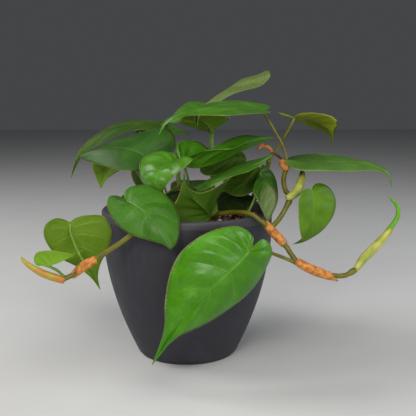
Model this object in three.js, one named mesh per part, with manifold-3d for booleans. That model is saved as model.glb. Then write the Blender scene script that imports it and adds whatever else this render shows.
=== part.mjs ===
// Heartleaf philodendron in a round tapered pot. Millimetres, +Z up.
// The origin is the centre of the pot's underside; the plant's front faces -Y.
import * as THREE from "three";
import { ParametricGeometry } from "three/addons/geometries/ParametricGeometry.js";
import { mergeVertices } from "three/addons/utils/BufferGeometryUtils.js";
import Module from "manifold-3d";

const wasm = await Module();
wasm.setup();

// ---------------------------------------------------------------- driving sizes
const POT_HEIGHT = 112;
const POT_BASE_RADIUS = 37.8; // the bell widens from here to POT_RIM_RADIUS
const POT_RIM_RADIUS = 64.8;
const POT_WALL = 5;
const POT_FLOOR = 6;
const LIP_ROUND = 2.4;
const RIM_BAND = 5.5; // height of the plain band under the lip
const SOIL_TOP = 103;
const BLADE_THICKNESS = 0.9;
const PETIOLE_RADIUS = 1.15;
const VINE_RADIUS = 1.7;
const FINE_STEM_RADIUS = 1.1;
const GAP = 0.35; // clearance kept between neighbours
const TUBE_SIDES = 6;
const BLADE_ROWS = 12;
const BLADE_COLUMNS = 4;
const FOOT_POWER = 2.4; // how late the side veins leave the midrib

// ---------------------------------------------------------------- materials
function finish(color, roughness) {
  return new THREE.MeshStandardMaterial({ color, roughness, metalness: 0 });
}
const POT_GREY = finish(0x4d4e54, 0.62);
const SOIL_BROWN = finish(0x2e241c, 0.95);
const BARK_BROWN = finish(0x7c4c36, 0.9);
const PERLITE_WHITE = finish(0xd8cfc4, 0.9);
const LEAF_GREEN = finish(0x5d8a3a, 0.42);
const LEAF_PALE = finish(0x93a874, 0.5);
const LEAF_UNDER = finish(0x6c7a22, 0.5);
const STEM_GREEN = finish(0x77782f, 0.55);
const SHEATH_TAN = finish(0xb08552, 0.8);
const SHEATH_CREAM = finish(0xb5b87c, 0.6);

// ---------------------------------------------------------------- solids
function vectors(points) {
  return points.map((p) => new THREE.Vector3(p[0], p[1], p[2]));
}

// Merge the shared corners and turn the faces outward, then hand over to the boolean library.
function solid(geometry) {
  const bare = geometry.clone();
  bare.deleteAttribute("normal");
  bare.deleteAttribute("uv");
  const merged = mergeVertices(bare, 1e-4);
  const place = merged.getAttribute("position").array;
  const corner = merged.getIndex().array;
  const faces = [];
  let volume = 0;
  for (let i = 0; i < corner.length; i += 3) {
    const [a, b, c] = [corner[i], corner[i + 1], corner[i + 2]];
    if (a !== b && b !== c && c !== a) {
      faces.push(a, b, c);
      const A = new THREE.Vector3().fromArray(place, 3 * a);
      const B = new THREE.Vector3().fromArray(place, 3 * b);
      const C = new THREE.Vector3().fromArray(place, 3 * c);
      volume += A.dot(B.cross(C));
    }
  }
  if (volume < 0) {
    for (let i = 0; i < faces.length; i += 3) {
      [faces[i], faces[i + 1]] = [faces[i + 1], faces[i]];
    }
  }
  return new wasm.Manifold(new wasm.Mesh({
    numProp: 3,
    vertProperties: new Float32Array(place),
    triVerts: new Uint32Array(faces),
  }));
}

function geometryOf(body) {
  const mesh = body.getMesh();
  const geometry = new THREE.BufferGeometry();
  geometry.setAttribute("position", new THREE.BufferAttribute(new Float32Array(mesh.vertProperties), 3));
  geometry.setIndex(new THREE.BufferAttribute(new Uint32Array(mesh.triVerts), 1));
  geometry.computeVertexNormals();
  return geometry;
}

// The biggest piece of a cut body, so no loose sliver is left behind.
function mainPiece(body) {
  return body.decompose().reduce((best, piece) => (piece.volume() > best.volume() ? piece : best));
}

// ---------------------------------------------------------------- tubes and sheaths
function curveThrough(points) {
  return new THREE.CatmullRomCurve3(vectors(points), false, "centripetal");
}

function tube(points, radius, sides = TUBE_SIDES) {
  const curve = curveThrough(points);
  const steps = Math.max(4, Math.round(curve.getLength() / 7));
  const section = new THREE.Shape();
  for (let k = 0; k < sides; k++) {
    const turn = (2 * Math.PI * k) / sides;
    const x = radius * Math.cos(turn);
    const y = radius * Math.sin(turn);
    if (k === 0) {
      section.moveTo(x, y);
    } else {
      section.lineTo(x, y);
    }
  }
  return solid(new THREE.ExtrudeGeometry(section, { steps, extrudePath: curve }));
}

// A closed spindle along a path: a papery sheath or a rolled leaf. It swells to "wide" and
// "deep" (half sizes) at the fraction "belly" of its length and runs out to nothing at both ends.
function spindle(points, wide, deep, belly = 0.35, rows = 9, sides = 8) {
  const curve = curveThrough(points);
  const bend = Math.log(0.5) / Math.log(belly);
  return solid(new ParametricGeometry((u, v, target) => {
    const centre = curve.getPoint(v);
    const along = curve.getTangent(v);
    const across = new THREE.Vector3(0, 1, 0).cross(along).normalize();
    const outward = along.clone().cross(across).normalize();
    const swell = v <= 0 || v >= 1 ? 0 : Math.sqrt(Math.sin(Math.PI * v ** bend));
    const turn = 2 * Math.PI * (u % 1);
    target.copy(centre)
      .addScaledVector(across, wide * swell * Math.cos(turn))
      .addScaledVector(outward, deep * swell * Math.sin(turn));
  }, sides, rows));
}

// ---------------------------------------------------------------- leaf blades
// The midrib is the cubic that passes through its four points at 0, 1/3, 2/3 and 1.
function midribCurve(points) {
  const [p, q, r, s] = vectors(points);
  const early = p.clone().multiplyScalar(-5).addScaledVector(q, 18)
    .addScaledVector(r, -9).addScaledVector(s, 2).divideScalar(6);
  const late = p.clone().multiplyScalar(2).addScaledVector(q, -9)
    .addScaledVector(r, 18).addScaledVector(s, -5).divideScalar(6);
  return new THREE.CubicBezierCurve3(p, early, late, s);
}

// A margin runs from the notch round the lobe and the flank to the tip.
function marginCurve(rib, side) {
  return new THREE.CatmullRomCurve3(vectors([rib[0], ...side, rib[3]]), false, "catmullrom", 0.5);
}

// Half a blade is spanned by veins that leave the midrib and bow towards the tip.
function bladePoint(leaf, w, x) {
  const margin = x < 0 ? leaf.leftMargin : leaf.rightMargin;
  const foot = w ** FOOT_POWER;
  const root = leaf.midrib.getPoint(foot);
  const along = leaf.midrib.getTangent(foot);
  const reach = margin.getPoint(w).sub(root);
  const bow = 0.16 * Math.sin(Math.PI * w) * reach.length();
  const control = root.clone().addScaledVector(reach, 0.5).addScaledVector(along, -bow);
  const end = root.clone().add(reach);
  const s = Math.abs(x);
  const point = root.clone().multiplyScalar((1 - s) ** 2)
    .addScaledVector(control, 2 * s * (1 - s))
    .addScaledVector(end, s * s);
  const up = along.clone().cross(reach).multiplyScalar(x < 0 ? -1 : 1).normalize();
  point.addScaledVector(up, (leaf.puff / 30) * reach.length() * 4 * s * (1 - s));
  return { point, up };
}

// Turns the diagonals of the lower sheet, so that both sheets of a blade fold along the same
// lines and never cut through each other.
function foldTogether(sheets) {
  const corners = sheets.getIndex().array;
  for (let quad = 0; 6 * quad < corners.length; quad++) {
    if (quad % (2 * BLADE_COLUMNS) >= BLADE_COLUMNS) {
      const [a, b, d, , c] = corners.subarray(6 * quad, 6 * quad + 6);
      corners.set([a, b, c, a, c, d], 6 * quad);
    }
  }
  return sheets;
}

// The closed blade: its section goes across the upper face and back along the lower one.
function blade(leaf) {
  const shape = {
    puff: leaf.puff ?? 1,
    midrib: midribCurve(leaf.rib),
    leftMargin: marginCurve(leaf.rib, leaf.left),
    rightMargin: marginCurve(leaf.rib, leaf.right),
  };
  return solid(foldTogether(new ParametricGeometry((u, v, target) => {
    const upper = u <= 0.5;
    const x = Math.max(-1, Math.min(1, upper ? 4 * u - 1 : 3 - 4 * u));
    const w = Math.max(0, Math.min(1, v));
    const { point, up } = bladePoint(shape, w, x);
    if (x === 0 && w > 0 && w < 1) {
      up.add(bladePoint(shape, w, -1e-3).up).normalize();
    }
    const ends = w <= 0 || w >= 1 ? 0 : Math.sin(Math.PI * w) ** 0.25;
    const half = 0.5 * BLADE_THICKNESS * ends * (1 - x ** 4);
    target.copy(point).addScaledVector(up, upper ? half : -half);
  }, 2 * BLADE_COLUMNS, BLADE_ROWS)));
}

// Each leaf: midrib notch-to-tip, left and right margins seen on the upper face with the
// tip down, and the leaf stalk from its root to just short of the notch.
const LEAVES = {
  front_leaf: {
    rib: [[42, -88, 100.5], [22, -93, 81], [0, -91, 57.5], [-24.5, -82, 17.5]],
    left: [[42.5, -85, 107], [32.5, -84, 113.5], [13.5, -84, 109.5], [-3, -84, 98],
      [-11.5, -84, 82.5], [-15, -85, 63], [-16, -86, 43.5]],
    right: [[50, -80, 104], [56, -73, 97.5], [56, -69, 87], [42.5, -71, 65.5], [17, -78, 48],
      [-7, -84, 38], [-17.5, -84, 28]],
    stalk: [[77, -62, 82], [68, -64, 86.5], [58, -67, 91], [49, -78, 96.5]],
    vine: "right_vine",
    puff: 3,
  },
  left_front_leaf: {
    rib: [[-42, -54, 125.5], [-31, -66, 121.5], [-19.5, -76, 112.5], [-11, -80, 97]],
    left: [[-46.5, -57, 129], [-53, -58, 129.5], [-54, -62, 123.5], [-49, -67, 114],
      [-38.5, -73, 106.5], [-26, -77, 103], [-16.5, -79, 100.5]],
    right: [[-43.5, -49, 130.5], [-39, -43, 134], [-27.5, -42, 135], [-13.5, -50, 128.5],
      [-6, -61, 118.5], [-5, -71, 108.5], [-7, -77, 101]],
    stalk: [[-16, -44, 116], [-24, -47, 120], [-36, -50, 124]],
    vine: "left_vine",
    puff: 3,
  },
  left_back_leaf: {
    rib: [[-83.5, -38, 107.5], [-80, -42, 96.5], [-74, -39, 80.5], [-63.5, -33, 56.5]],
    left: [[-79, -37, 111], [-70.5, -37, 113], [-59, -38, 112], [-53.5, -41, 102],
      [-56, -40, 89.5], [-62, -37, 78.5], [-65, -34, 67.5]],
    right: [[-87, -40, 110.5], [-93.5, -42, 111.5], [-100, -44, 106.5], [-100, -44, 96.5],
      [-92.5, -41, 84], [-79.5, -38, 75.5], [-70, -35, 66.5]],
    stalk: [[-70, -56, 81], [-75, -54, 89], [-81, -47, 100]],
    vine: "left_vine",
    under: true,
  },
  left_new_leaf: {
    rib: [[-97.5, -61, 82.5], [-89, -62, 84.5], [-80, -62, 88.5], [-70.5, -61, 93.5]],
    left: [[-102, -64, 83], [-104, -65, 87.5], [-101, -67, 93], [-92.5, -68, 94.5],
      [-83.5, -66, 92.5], [-76.5, -64, 91]],
    right: [[-102, -58, 82.5], [-105, -54, 87.5], [-99.5, -52, 90], [-91, -53, 90],
      [-82.5, -56, 89.5], [-76.5, -59, 90]],
    stalk: [[-84, -59, 73], [-90, -59, 78.5]],
    vine: "left_vine",
    puff: 2,
  },
  back_left_arch_leaf: {
    rib: [[-19, 54, 171.5], [-45, 60, 172], [-75.5, 63, 159], [-98, 62, 126.5]],
    left: [[-16, 72, 174], [-30, 82, 174.5], [-45, 85, 174.5], [-60, 82, 172], [-76.5, 72, 163.5],
      [-87.5, 66, 153.5], [-94, 62, 142]],
    right: [[-19.5, 50, 169.5], [-29, 40, 168.5], [-42.5, 38, 168.5], [-55.5, 42, 164],
      [-70, 48, 157.5], [-82.5, 55, 150.5], [-91, 60, 140.5]],
    stalk: [[-4, 24, 98], [-6, 34, 130], [-10, 46, 158]],
  },
  back_left_far_leaf: {
    rib: [[-39.5, 66, 170.5], [-24.5, 70, 172], [-9, 68, 168], [4, 64, 162]],
    left: [[-41, 56, 168], [-30, 50, 165], [-17, 52, 163], [-7.5, 58, 164.5]],
    right: [[-39.5, 80, 173.5], [-25, 86, 174], [-11, 80, 170.5], [-2.5, 70, 166]],
    stalk: [[-16, 30, 98], [-34, 39, 124], [-47, 54, 146], [-43, 63, 162]],
  },
  left_wide_leaf: {
    rib: [[-29.5, 0, 148.5], [-45.5, 6, 156], [-65.5, 12, 156], [-84, 18, 150]],
    left: [[-19, 4, 146.5], [-10, 14, 154], [-9.5, 24, 164], [-17.5, 32, 171], [-32.5, 34, 168.5],
      [-50, 30, 163.5], [-68, 24, 157]],
    right: [[-30, -10, 142], [-37, -15, 142.5], [-45, -16, 142], [-57.5, -8, 143.5],
      [-70, 4, 145.5], [-78.5, 12, 147]],
    stalk: [[-14, 4, 98], [-20, 6, 126], [-27, 3, 143]],
    puff: 2,
  },
  left_hanging_leaf: {
    rib: [[-56, 40, 150], [-61, 44, 145], [-67, 44, 134], [-70, 40, 121]],
    left: [[-47, 36, 149], [-47, 34, 142], [-64, 38, 130]],
    right: [[-66, 42, 151], [-77, 44, 143], [-75, 44, 131]],
    stalk: [[-20, 22, 98], [-34, 32, 128], [-50, 38, 145]],
    under: true,
  },
  curled_leaf: {
    rib: [[-6, -20, 149], [-17, -36, 146.5], [-22.5, -43, 138.5], [-21.5, -38, 126.5]],
    left: [[-9.5, -10, 152.5], [-16.5, -6, 155], [-26, -8, 154.5], [-33.5, -16, 151],
      [-34.5, -26, 145], [-33, -32, 138.5], [-28.5, -36, 132]],
    right: [[-0.5, -30, 150.5], [4, -40, 153], [-0, -46, 149], [-7.5, -48, 143.5],
      [-13.5, -46, 136.5], [-17.5, -42, 130.5]],
    stalk: [[-7, -19, 130], [-7, -18, 140], [-7, -18, 146]],
    vine: "olive_stem",
    puff: 4,
  },
  top_light_leaf: {
    rib: [[60, 60, 208.5], [41, 50, 202.5], [16, 27, 189.5], [7.5, 4, 172]],
    left: [[66.5, 68, 211.5], [70.5, 74, 214.5], [68.5, 80, 217], [59.5, 82, 213],
      [46.5, 78, 209.5], [35.5, 66, 202.5], [22, 46, 194.5], [6.5, 12, 183]],
    right: [[63.5, 56, 211.5], [67.5, 52, 213.5], [67, 48, 210], [59, 42, 203.5], [45.5, 36, 200],
      [35, 32, 196.5], [24.5, 25, 190.5], [11, 10, 182.5]],
    stalk: [[21, 46, 98], [20.5, 51, 140], [20.3, 55, 165], [26, 58, 192], [42, 60, 201]],
    pale: true,
  },
  top_leaf: {
    rib: [[58, -4, 185.5], [30, -13, 188], [-1.5, -17, 185.5], [-21, -19, 167]],
    left: [[62.5, 2, 187.5], [61, 14, 189.5], [49.5, 25, 191.5], [32.5, 28, 192.5], [15, 20, 190],
      [2.5, 6, 186], [-9.5, -8, 182.5], [-17, -15, 177.5]],
    right: [[62, -10, 184.5], [58, -20, 184], [44.5, -34, 184], [28.5, -38, 183], [13.5, -34, 183],
      [1, -28, 182.5], [-8.5, -23, 179.5], [-14.5, -20, 176.5]],
    stalk: [[73, -20, 148], [71, -16, 159], [65, -10, 171], [59, -5, 181]],
    vine: "right_branch",
    puff: 1,
  },
  top_left_leaf: {
    rib: [[20.5, 42, 183], [7.5, 42, 184.5], [-3, 40, 182], [-14, 34, 175]],
    left: [[20, 54, 188.5], [11, 58, 191], [1, 56, 190.5], [-8, 48, 184], [-12.5, 38, 178.5]],
    right: [[18, 38, 179], [7.5, 36, 177], [-2.5, 34, 175.5], [-9.5, 32, 174.5]],
    stalk: [[20.5, 39, 98], [20, 43, 140], [19.5, 44, 165], [19, 44, 176]],
  },
  top_under_leaf: {
    rib: [[19.5, 32, 166.5], [16, 25, 174], [10, 20, 178.5], [3, 16, 181.5]],
    left: [[13, 36, 169], [2.5, 36, 171], [-5, 30, 175], [-4, 24, 179.5], [-0.5, 19, 181]],
    right: [[24, 36, 170], [29.5, 34, 174.5], [34.5, 30, 178.5], [26, 24, 181], [14, 18, 182]],
    stalk: [[21, 16, 98], [20, 26, 135], [19.5, 31, 160]],
    stalkRadius: 1.7,
    under: true,
  },
  centre_fold_leaf: {
    rib: [[-5, -16, 149], [12.5, -22, 146], [37, -21, 155.5], [65, -16, 166]],
    left: [[-2, -24, 152], [4.5, -32, 155], [12.5, -38, 158.5], [24.5, -40, 160], [33, -38, 160.5],
      [43.5, -32, 164.5], [54, -24, 166]],
    right: [[-8, -6, 155], [-7, 4, 161], [0, 12, 162.5], [9.5, 12, 161], [17.5, 4, 156.5],
      [26, 8, 160.5], [40, 8, 166], [53, -4, 166.5]],
    stalk: [[0, -8, 98], [1, -14, 132], [-2, -16, 145]],
  },
  centre_shade_leaf: {
    rib: [[46, 14, 147], [34.5, 8, 149], [22, 4, 146.5], [10, 4, 142.5]],
    left: [[42.5, 2, 142], [34, -2, 139.5], [23.5, -3, 137], [14.5, 0, 136.5], [10, 3, 139]],
    right: [[45, 26, 151], [37.5, 30, 155], [22.5, 20, 152], [12.5, 10, 147.5]],
    stalk: [[36, 14, 98], [42, 16, 124], [46, 15, 142]],
    under: true,
  },
  swoosh_leaf: {
    rib: [[6.5, -30, 130.5], [25, -36, 139.5], [44.5, -37, 147.5], [63, -28, 156]],
    left: [[9, -42, 130], [19, -50, 136], [31, -52, 142], [43.5, -46, 145], [54.5, -36, 150]],
    right: [[3.5, -22, 131.5], [13, -16, 134], [27.5, -12, 141], [42.5, -15, 148],
      [54.5, -22, 152]],
    stalk: [[4, -14, 98], [6, -20, 116], [6.5, -27, 126]],
  },
  cupped_leaf: {
    rib: [[16.5, -32, 110], [10.5, -44, 119.5], [2.5, -50, 128.5], [-2, -50, 145.5]],
    left: [[12.5, -40, 106], [2, -45, 106], [-8, -47, 110], [-11, -47, 118], [-7, -48, 126],
      [-4.5, -50, 132.5], [-3, -50.5, 140]],
    right: [[22, -31, 114.5], [21, -30, 123.5], [25, -32, 132], [31, -38, 139.5], [18.5, -46, 133],
      [8, -50, 130.5], [1.5, -51, 134], [-1, -51, 139]],
    stalk: [[13, -22, 98], [15, -27, 105]],
    under: true,
    puff: 2,
  },
  inner_shade_leaf: {
    rib: [[53.5, -11, 144], [46.5, -14, 137.5], [39, -16, 131], [26.5, -12, 126.5]],
    left: [[55, -12, 141], [53.5, -16, 134], [49, -20, 127.5], [42.5, -21, 124], [36, -20, 123.5],
      [30.5, -16, 125]],
    right: [[47, -6, 146], [38.5, -2, 142.5], [31, -4, 136.5], [26, -8, 130]],
    stalk: [[38, 6, 98], [50, 9, 118], [55, 0, 137]],
    under: true,
  },
  right_fold_leaf: {
    rib: [[53, -16, 141], [59.5, -26, 133], [63, -36, 124.5], [57, -42, 108]],
    left: [[49, -28, 135], [46.5, -38, 130], [49, -43, 125], [52, -45, 118], [54.5, -44, 112]],
    right: [[56.5, -8, 145.5], [63, -6, 141], [66.5, -9, 134.5], [67, -18, 127.5],
      [65.5, -30, 121.5], [62, -37, 115]],
    stalk: [[37, -25, 98], [44, -28, 112], [51, -25, 127], [54, -20, 136]],
    pale: true,
  },
  low_shade_leaf: {
    rib: [[18.5, -8, 119.5], [29, -10, 118.5], [41.5, -8, 119], [54, -4, 119]],
    left: [[18.5, -18, 116], [28.5, -22, 111.5], [44, -14, 113]],
    right: [[20.5, 4, 121.5], [31.5, 8, 123.5], [45, 2, 122]],
    stalk: [[10, -4, 98], [13, -5, 108], [17, -7, 117]],
  },
  top_right_leaf: {
    rib: [[81, 4, 180], [94, 9, 178.5], [107, 8, 174.5], [109.5, -2, 157.5]],
    left: [[83.5, -4, 183], [90.5, -12, 184], [98.5, -16, 183.5], [107, -16, 181], [111, -13, 176],
      [109.5, -9, 169], [109.5, -5, 163.5]],
    right: [[77, 8, 182], [70, 12, 183.5], [75.5, 14, 180], [85.5, 18, 176.5], [98, 22, 171],
      [106.5, 19, 168], [110, 8, 163.5]],
    stalk: [[63, 7, 148], [70, 9, 156], [76, 6, 168], [80, 4, 176]],
    vine: "back_branch",
    under: true,
    puff: -1,
  },
  right_long_leaf: {
    rib: [[86.5, -10, 145], [114, -5, 146.5], [143, -1, 143], [158.5, 4, 125.5]],
    left: [[79.5, -18, 148], [71.5, -26, 150.5], [72, -32, 147.5], [80, -38, 144.5],
      [98.5, -38, 144], [119, -30, 142.5], [137, -16, 141.5], [151, -4, 137]],
    right: [[82, 0, 145.5], [77, 12, 146], [81.5, 24, 148], [97.5, 34, 149.5], [115.5, 34, 149],
      [131.5, 26, 146.5], [146.5, 12, 143.5], [155, 4, 138.5]],
    stalk: [[77, -31, 128], [81, -25, 134], [85, -14, 141]],
    vine: "right_branch",
    puff: 2,
  },
  right_heart_leaf: {
    rib: [[89.5, -36, 129.5], [89.5, -41, 118], [86.5, -42, 103], [75.5, -35, 90]],
    left: [[87, -39, 131.5], [81.5, -43, 131], [78, -48, 125.5], [77.5, -51, 114.5],
      [79, -49, 103], [81, -43, 95]],
    right: [[90.5, -32, 132], [95, -28, 134], [103, -25, 131], [108.5, -25, 122], [107, -28, 111],
      [98.5, -33, 100.5], [85.5, -37, 93]],
    stalk: [[75, -35, 125], [80, -37, 128], [85, -37, 130]],
    vine: "right_branch",
    puff: 2,
  },
  low_left_leaf: {
    rib: [[-2.5, -33, 125.5], [-7, -36, 127.5], [-12, -38, 126.5], [-17, -40, 122]],
    left: [[-4.5, -28, 128.5], [-9.5, -28, 128.5], [-14.5, -33, 126.5]],
    right: [[-3, -40, 122.5], [-8.5, -44, 120.5], [-14, -43, 120]],
    stalk: [[4, -22, 98], [2, -27, 110], [-2, -32, 120]],
  },
  back_left_leaf: {
    rib: [[-24, 50, 138], [-28, 66, 137], [-33, 82, 126], [-36, 92, 106]],
    left: [[-12, 48, 140], [-6, 62, 137], [-16, 80, 122], [-30, 90, 112]],
    right: [[-34, 48, 140], [-46, 58, 136], [-47, 74, 124], [-41, 88, 112]],
    stalk: [[-10, 36, 98], [-18, 44, 120], [-23, 48, 134]],
  },
  back_middle_leaf: {
    rib: [[4, 58, 124], [5, 74, 122], [4, 88, 110], [1, 96, 90]],
    left: [[15, 55, 126], [24, 66, 122], [21, 82, 108], [8, 94, 96]],
    right: [[-6, 56, 126], [-14, 66, 121], [-12, 82, 107], [-4, 94, 96]],
    stalk: [[4, 42, 98], [4, 50, 112], [4, 56, 120]],
  },
  back_right_leaf: {
    rib: [[34, 48, 140], [44, 60, 140], [55, 74, 130], [62, 82, 112]],
    left: [[44, 40, 142], [58, 46, 139], [66, 60, 128], [66, 76, 116]],
    right: [[26, 54, 143], [30, 70, 140], [42, 82, 128], [56, 86, 116]],
    stalk: [[24, 38, 98], [29, 42, 120], [33, 46, 136]],
  },
  back_low_leaf: {
    rib: [[-30, 50, 120], [-40, 60, 118], [-50, 70, 106], [-56, 76, 88]],
    left: [[-21, 58, 122], [-24, 72, 117], [-36, 80, 104], [-50, 80, 92]],
    right: [[-40, 42, 122], [-52, 46, 116], [-60, 58, 104], [-60, 70, 92]],
    stalk: [[-24, 32, 98], [-26, 40, 110], [-29, 47, 117]],
    under: true,
  },
};

const VINES = {
  right_vine: [[7, -8, 98], [16, -17, 107], [26, -27, 112], [35, -36, 114.2], [44, -44, 114.4],
    [53, -48, 109], [58, -48, 104], [68, -56, 94], [77, -62, 82], [90, -62, 77], [101, -58, 73],
    [111, -54, 72], [119, -50, 75]],
  right_branch: [[60, -44, 105], [66, -38, 110], [71, -36, 118], [74, -34, 125], [71, -30, 129],
    [70, -26, 136], [72, -22, 143], [73, -20, 146]],
  left_vine: [[-5, -20, 98], [-10, -32, 110], [-17, -46, 114.2], [-27, -58, 114.6], [-38, -64, 104],
    [-54, -60, 92], [-64, -58, 85], [-70, -57, 81], [-77, -58, 76], [-86, -60, 72]],
  olive_stem: [[-7, -16, 98], [-5, -17, 113], [-5, -19, 122], [-7, -19, 130]],
  back_branch: [[44, 10, 98], [56, 16, 124], [62, 10, 140], [63, 7, 148]],
};

const FINE_STEMS = {
  sprout: [[-18, -26, 124], [-12, -25, 128], [-8, -22, 132]],
  brown_stick: [[31, -8, 98], [34, -7, 106], [39, -4, 113]],
  grey_stem: [[65, 3, 153], [68, -5, 152], [71, -14, 149.5]],
};

// Sheaths: path, half width, half depth, where the belly lies and the vine that it wraps.
const SHEATHS = {
  middle_sheath: {
    path: [[54, -46, 109], [60, -49, 102.5], [65, -53, 97.5], [70, -56, 92]],
    wide: 3.4, deep: 3.2, belly: 0.45, around: ["right_vine", "right_branch"], dry: true,
  },
  lower_sheath: {
    path: [[74, -62, 85], [84, -63, 79.5], [95, -60, 74.5], [106, -57, 70.5]],
    wide: 3.4, deep: 3.2, belly: 0.4, around: ["right_vine", "front_leaf"], dry: true,
  },
  left_sheath: {
    path: [[-62, -58, 86], [-69, -58, 82.5], [-75, -58, 78], [-80, -59, 73.5]],
    wide: 3.5, deep: 3.2, belly: 0.4, around: ["left_vine", "left_back_leaf"], dry: true,
  },
  left_tip_sheath: {
    path: [[-84, -60, 71], [-97, -63, 76.5], [-105, -63, 81], [-111, -61, 85], [-114, -59, 88]],
    wide: 2.6, deep: 2.2, belly: 0.25, around: ["left_vine", "left_new_leaf"],
  },
  right_tip_sheath: {
    path: [[118, -50, 73], [126, -47, 83], [137, -42, 92], [148, -37, 103]],
    wide: 3.2, deep: 2.8, belly: 0.45, around: ["right_vine"],
  },
  long_leaf_sheath: {
    path: [[70, -37, 124], [77, -36, 128], [82, -29, 135], [86, -17, 141]],
    wide: 3.3, deep: 3, belly: 0.35,
    around: ["right_branch", "right_long_leaf", "right_heart_leaf"],
  },
  node_bract: {
    path: [[68, -22, 149.5], [71, -24, 146.5], [75, -26, 143]],
    wide: 3, deep: 2.8, belly: 0.5, around: ["right_branch", "top_leaf", "grey_stem"], dry: true,
  },
  stem_bract: {
    path: [[-5, -22, 112], [-3, -22, 124], [-2, -21, 136]],
    wide: 2.6, deep: 1.8, belly: 0.4, around: ["olive_stem", "centre_fold_leaf"], dry: true,
  },
};

const sections = {};
const parts = new Map();

for (const [name, path] of Object.entries(VINES)) {
  parts.set(name, { body: tube(path, VINE_RADIUS, 8), look: STEM_GREEN });
  sections[name] = tube(path, VINE_RADIUS + GAP, 8);
}
parts.get("right_branch").body = mainPiece(
  parts.get("right_branch").body.subtract(sections.right_vine));

for (const [name, path] of Object.entries(FINE_STEMS)) {
  parts.set(name, { body: tube(path, FINE_STEM_RADIUS), look: STEM_GREEN });
  sections[name] = tube(path, FINE_STEM_RADIUS + GAP);
}
parts.get("grey_stem").body = mainPiece(parts.get("grey_stem").body
  .subtract(sections.right_branch).subtract(sections.back_branch));
parts.get("sprout").body = mainPiece(parts.get("sprout").body.subtract(sections.olive_stem));

for (const [name, leaf] of Object.entries(LEAVES)) {
  const [notch, next] = leaf.rib;
  const seat = notch.map((value, axis) => value + 0.08 * (next[axis] - value));
  const stalkRadius = leaf.stalkRadius ?? PETIOLE_RADIUS;
  const stalk = tube([...leaf.stalk, seat], stalkRadius, 5);
  let body = stalk.add(blade(leaf));
  if (leaf.vine) {
    body = body.subtract(sections[leaf.vine]);
  }
  const look = leaf.under ? LEAF_UNDER : leaf.pale ? LEAF_PALE : LEAF_GREEN;
  parts.set(name, { body: mainPiece(body), look });
  sections[name] = tube(leaf.stalk, stalkRadius + GAP, 5);
}

for (const [name, sheath] of Object.entries(SHEATHS)) {
  let body = spindle(sheath.path, sheath.wide, sheath.deep, sheath.belly);
  for (const wrapped of sheath.around) {
    body = body.subtract(sections[wrapped]);
  }
  parts.set(name, { body: mainPiece(body), look: sheath.dry ? SHEATH_TAN : SHEATH_CREAM });
}

// The new leaf is still rolled into a narrow spindle that leaves the top of its sheath.
const ROLLED_LEAF = [[138, -38, 95], [145, -36, 101.5], [151, -34, 107], [153, -33, 113], [152, -32, 118],
  [148.5, -31, 122], [145.5, -31, 124.5]];
const TIP_SHEATH = SHEATHS.right_tip_sheath;
parts.set("rolled_leaf", {
  body: mainPiece(spindle(ROLLED_LEAF, 2, 1.8, 0.4, 10, 6).subtract(
    spindle(TIP_SHEATH.path, TIP_SHEATH.wide + GAP, TIP_SHEATH.deep + GAP, TIP_SHEATH.belly))),
  look: LEAF_GREEN,
});

// A dry bract curled into a hook on the back branch.
const CURLED_BRACT = [[54, 4, 156], [58, 5, 158.5], [63, 4, 156], [66, 3.4, 151]];
parts.set("curled_bract", {
  body: mainPiece(spindle(CURLED_BRACT, 1.6, 1.2, 0.5, 8, 6)
    .subtract(sections.grey_stem).subtract(sections.top_right_leaf)),
  look: SHEATH_TAN,
});

// ---------------------------------------------------------------- pot
function potRadius(z) {
  const rise = Math.max(0, 1 - z / 100);
  return POT_RIM_RADIUS - 0.3 - (POT_RIM_RADIUS - 0.3 - POT_BASE_RADIUS) * rise ** 1.88;
}

function potProfile() {
  const outer = [0, 6, 14, 26, 42, 60, 80, 100].map((z) => [potRadius(z), z]);
  outer[0][0] -= 1.2;
  outer.push([potRadius(100), POT_HEIGHT - RIM_BAND - 0.8]);
  outer.push([POT_RIM_RADIUS, POT_HEIGHT - RIM_BAND]);
  outer.push([POT_RIM_RADIUS, POT_HEIGHT - LIP_ROUND]);
  outer.push([POT_RIM_RADIUS - 0.3 * LIP_ROUND, POT_HEIGHT - 0.3 * LIP_ROUND]);
  outer.push([POT_RIM_RADIUS - LIP_ROUND, POT_HEIGHT]);
  const inner = [
    [POT_RIM_RADIUS - POT_WALL + 0.8, POT_HEIGHT],
    [POT_RIM_RADIUS - POT_WALL, POT_HEIGHT - 0.8],
    ...[90, 62, 36, 16, POT_FLOOR].map((z) => [potRadius(z) - POT_WALL, z]),
  ];
  return [[0, 0], ...outer, ...inner, [0, POT_FLOOR]].map(([r, z]) => new THREE.Vector2(r, z));
}

// LatheGeometry turns about Y, so the profile is stood up to turn about Z.
function lathe(profile, segments) {
  return solid(new THREE.LatheGeometry(profile, segments).rotateX(Math.PI / 2));
}

const pot = lathe(potProfile(), 40);
parts.set("pot", { body: pot, look: POT_GREY });

// ---------------------------------------------------------------- potting mix and chips
function mixProfile() {
  const wall = [POT_FLOOR + GAP, 16, 36, 62, 90, SOIL_TOP - 1]
    .map((z) => [potRadius(z) - POT_WALL - GAP - 0.4, z]);
  return [[0, POT_FLOOR + GAP], ...wall, [50, SOIL_TOP], [0, SOIL_TOP + 0.8]]
    .map(([r, z]) => new THREE.Vector2(r, z));
}

let mix = lathe(mixProfile(), 32);
for (const name of Object.keys(sections)) {
  mix = mix.subtract(sections[name]);
}
parts.set("potting_mix", { body: mainPiece(mix), look: SOIL_BROWN });

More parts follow.
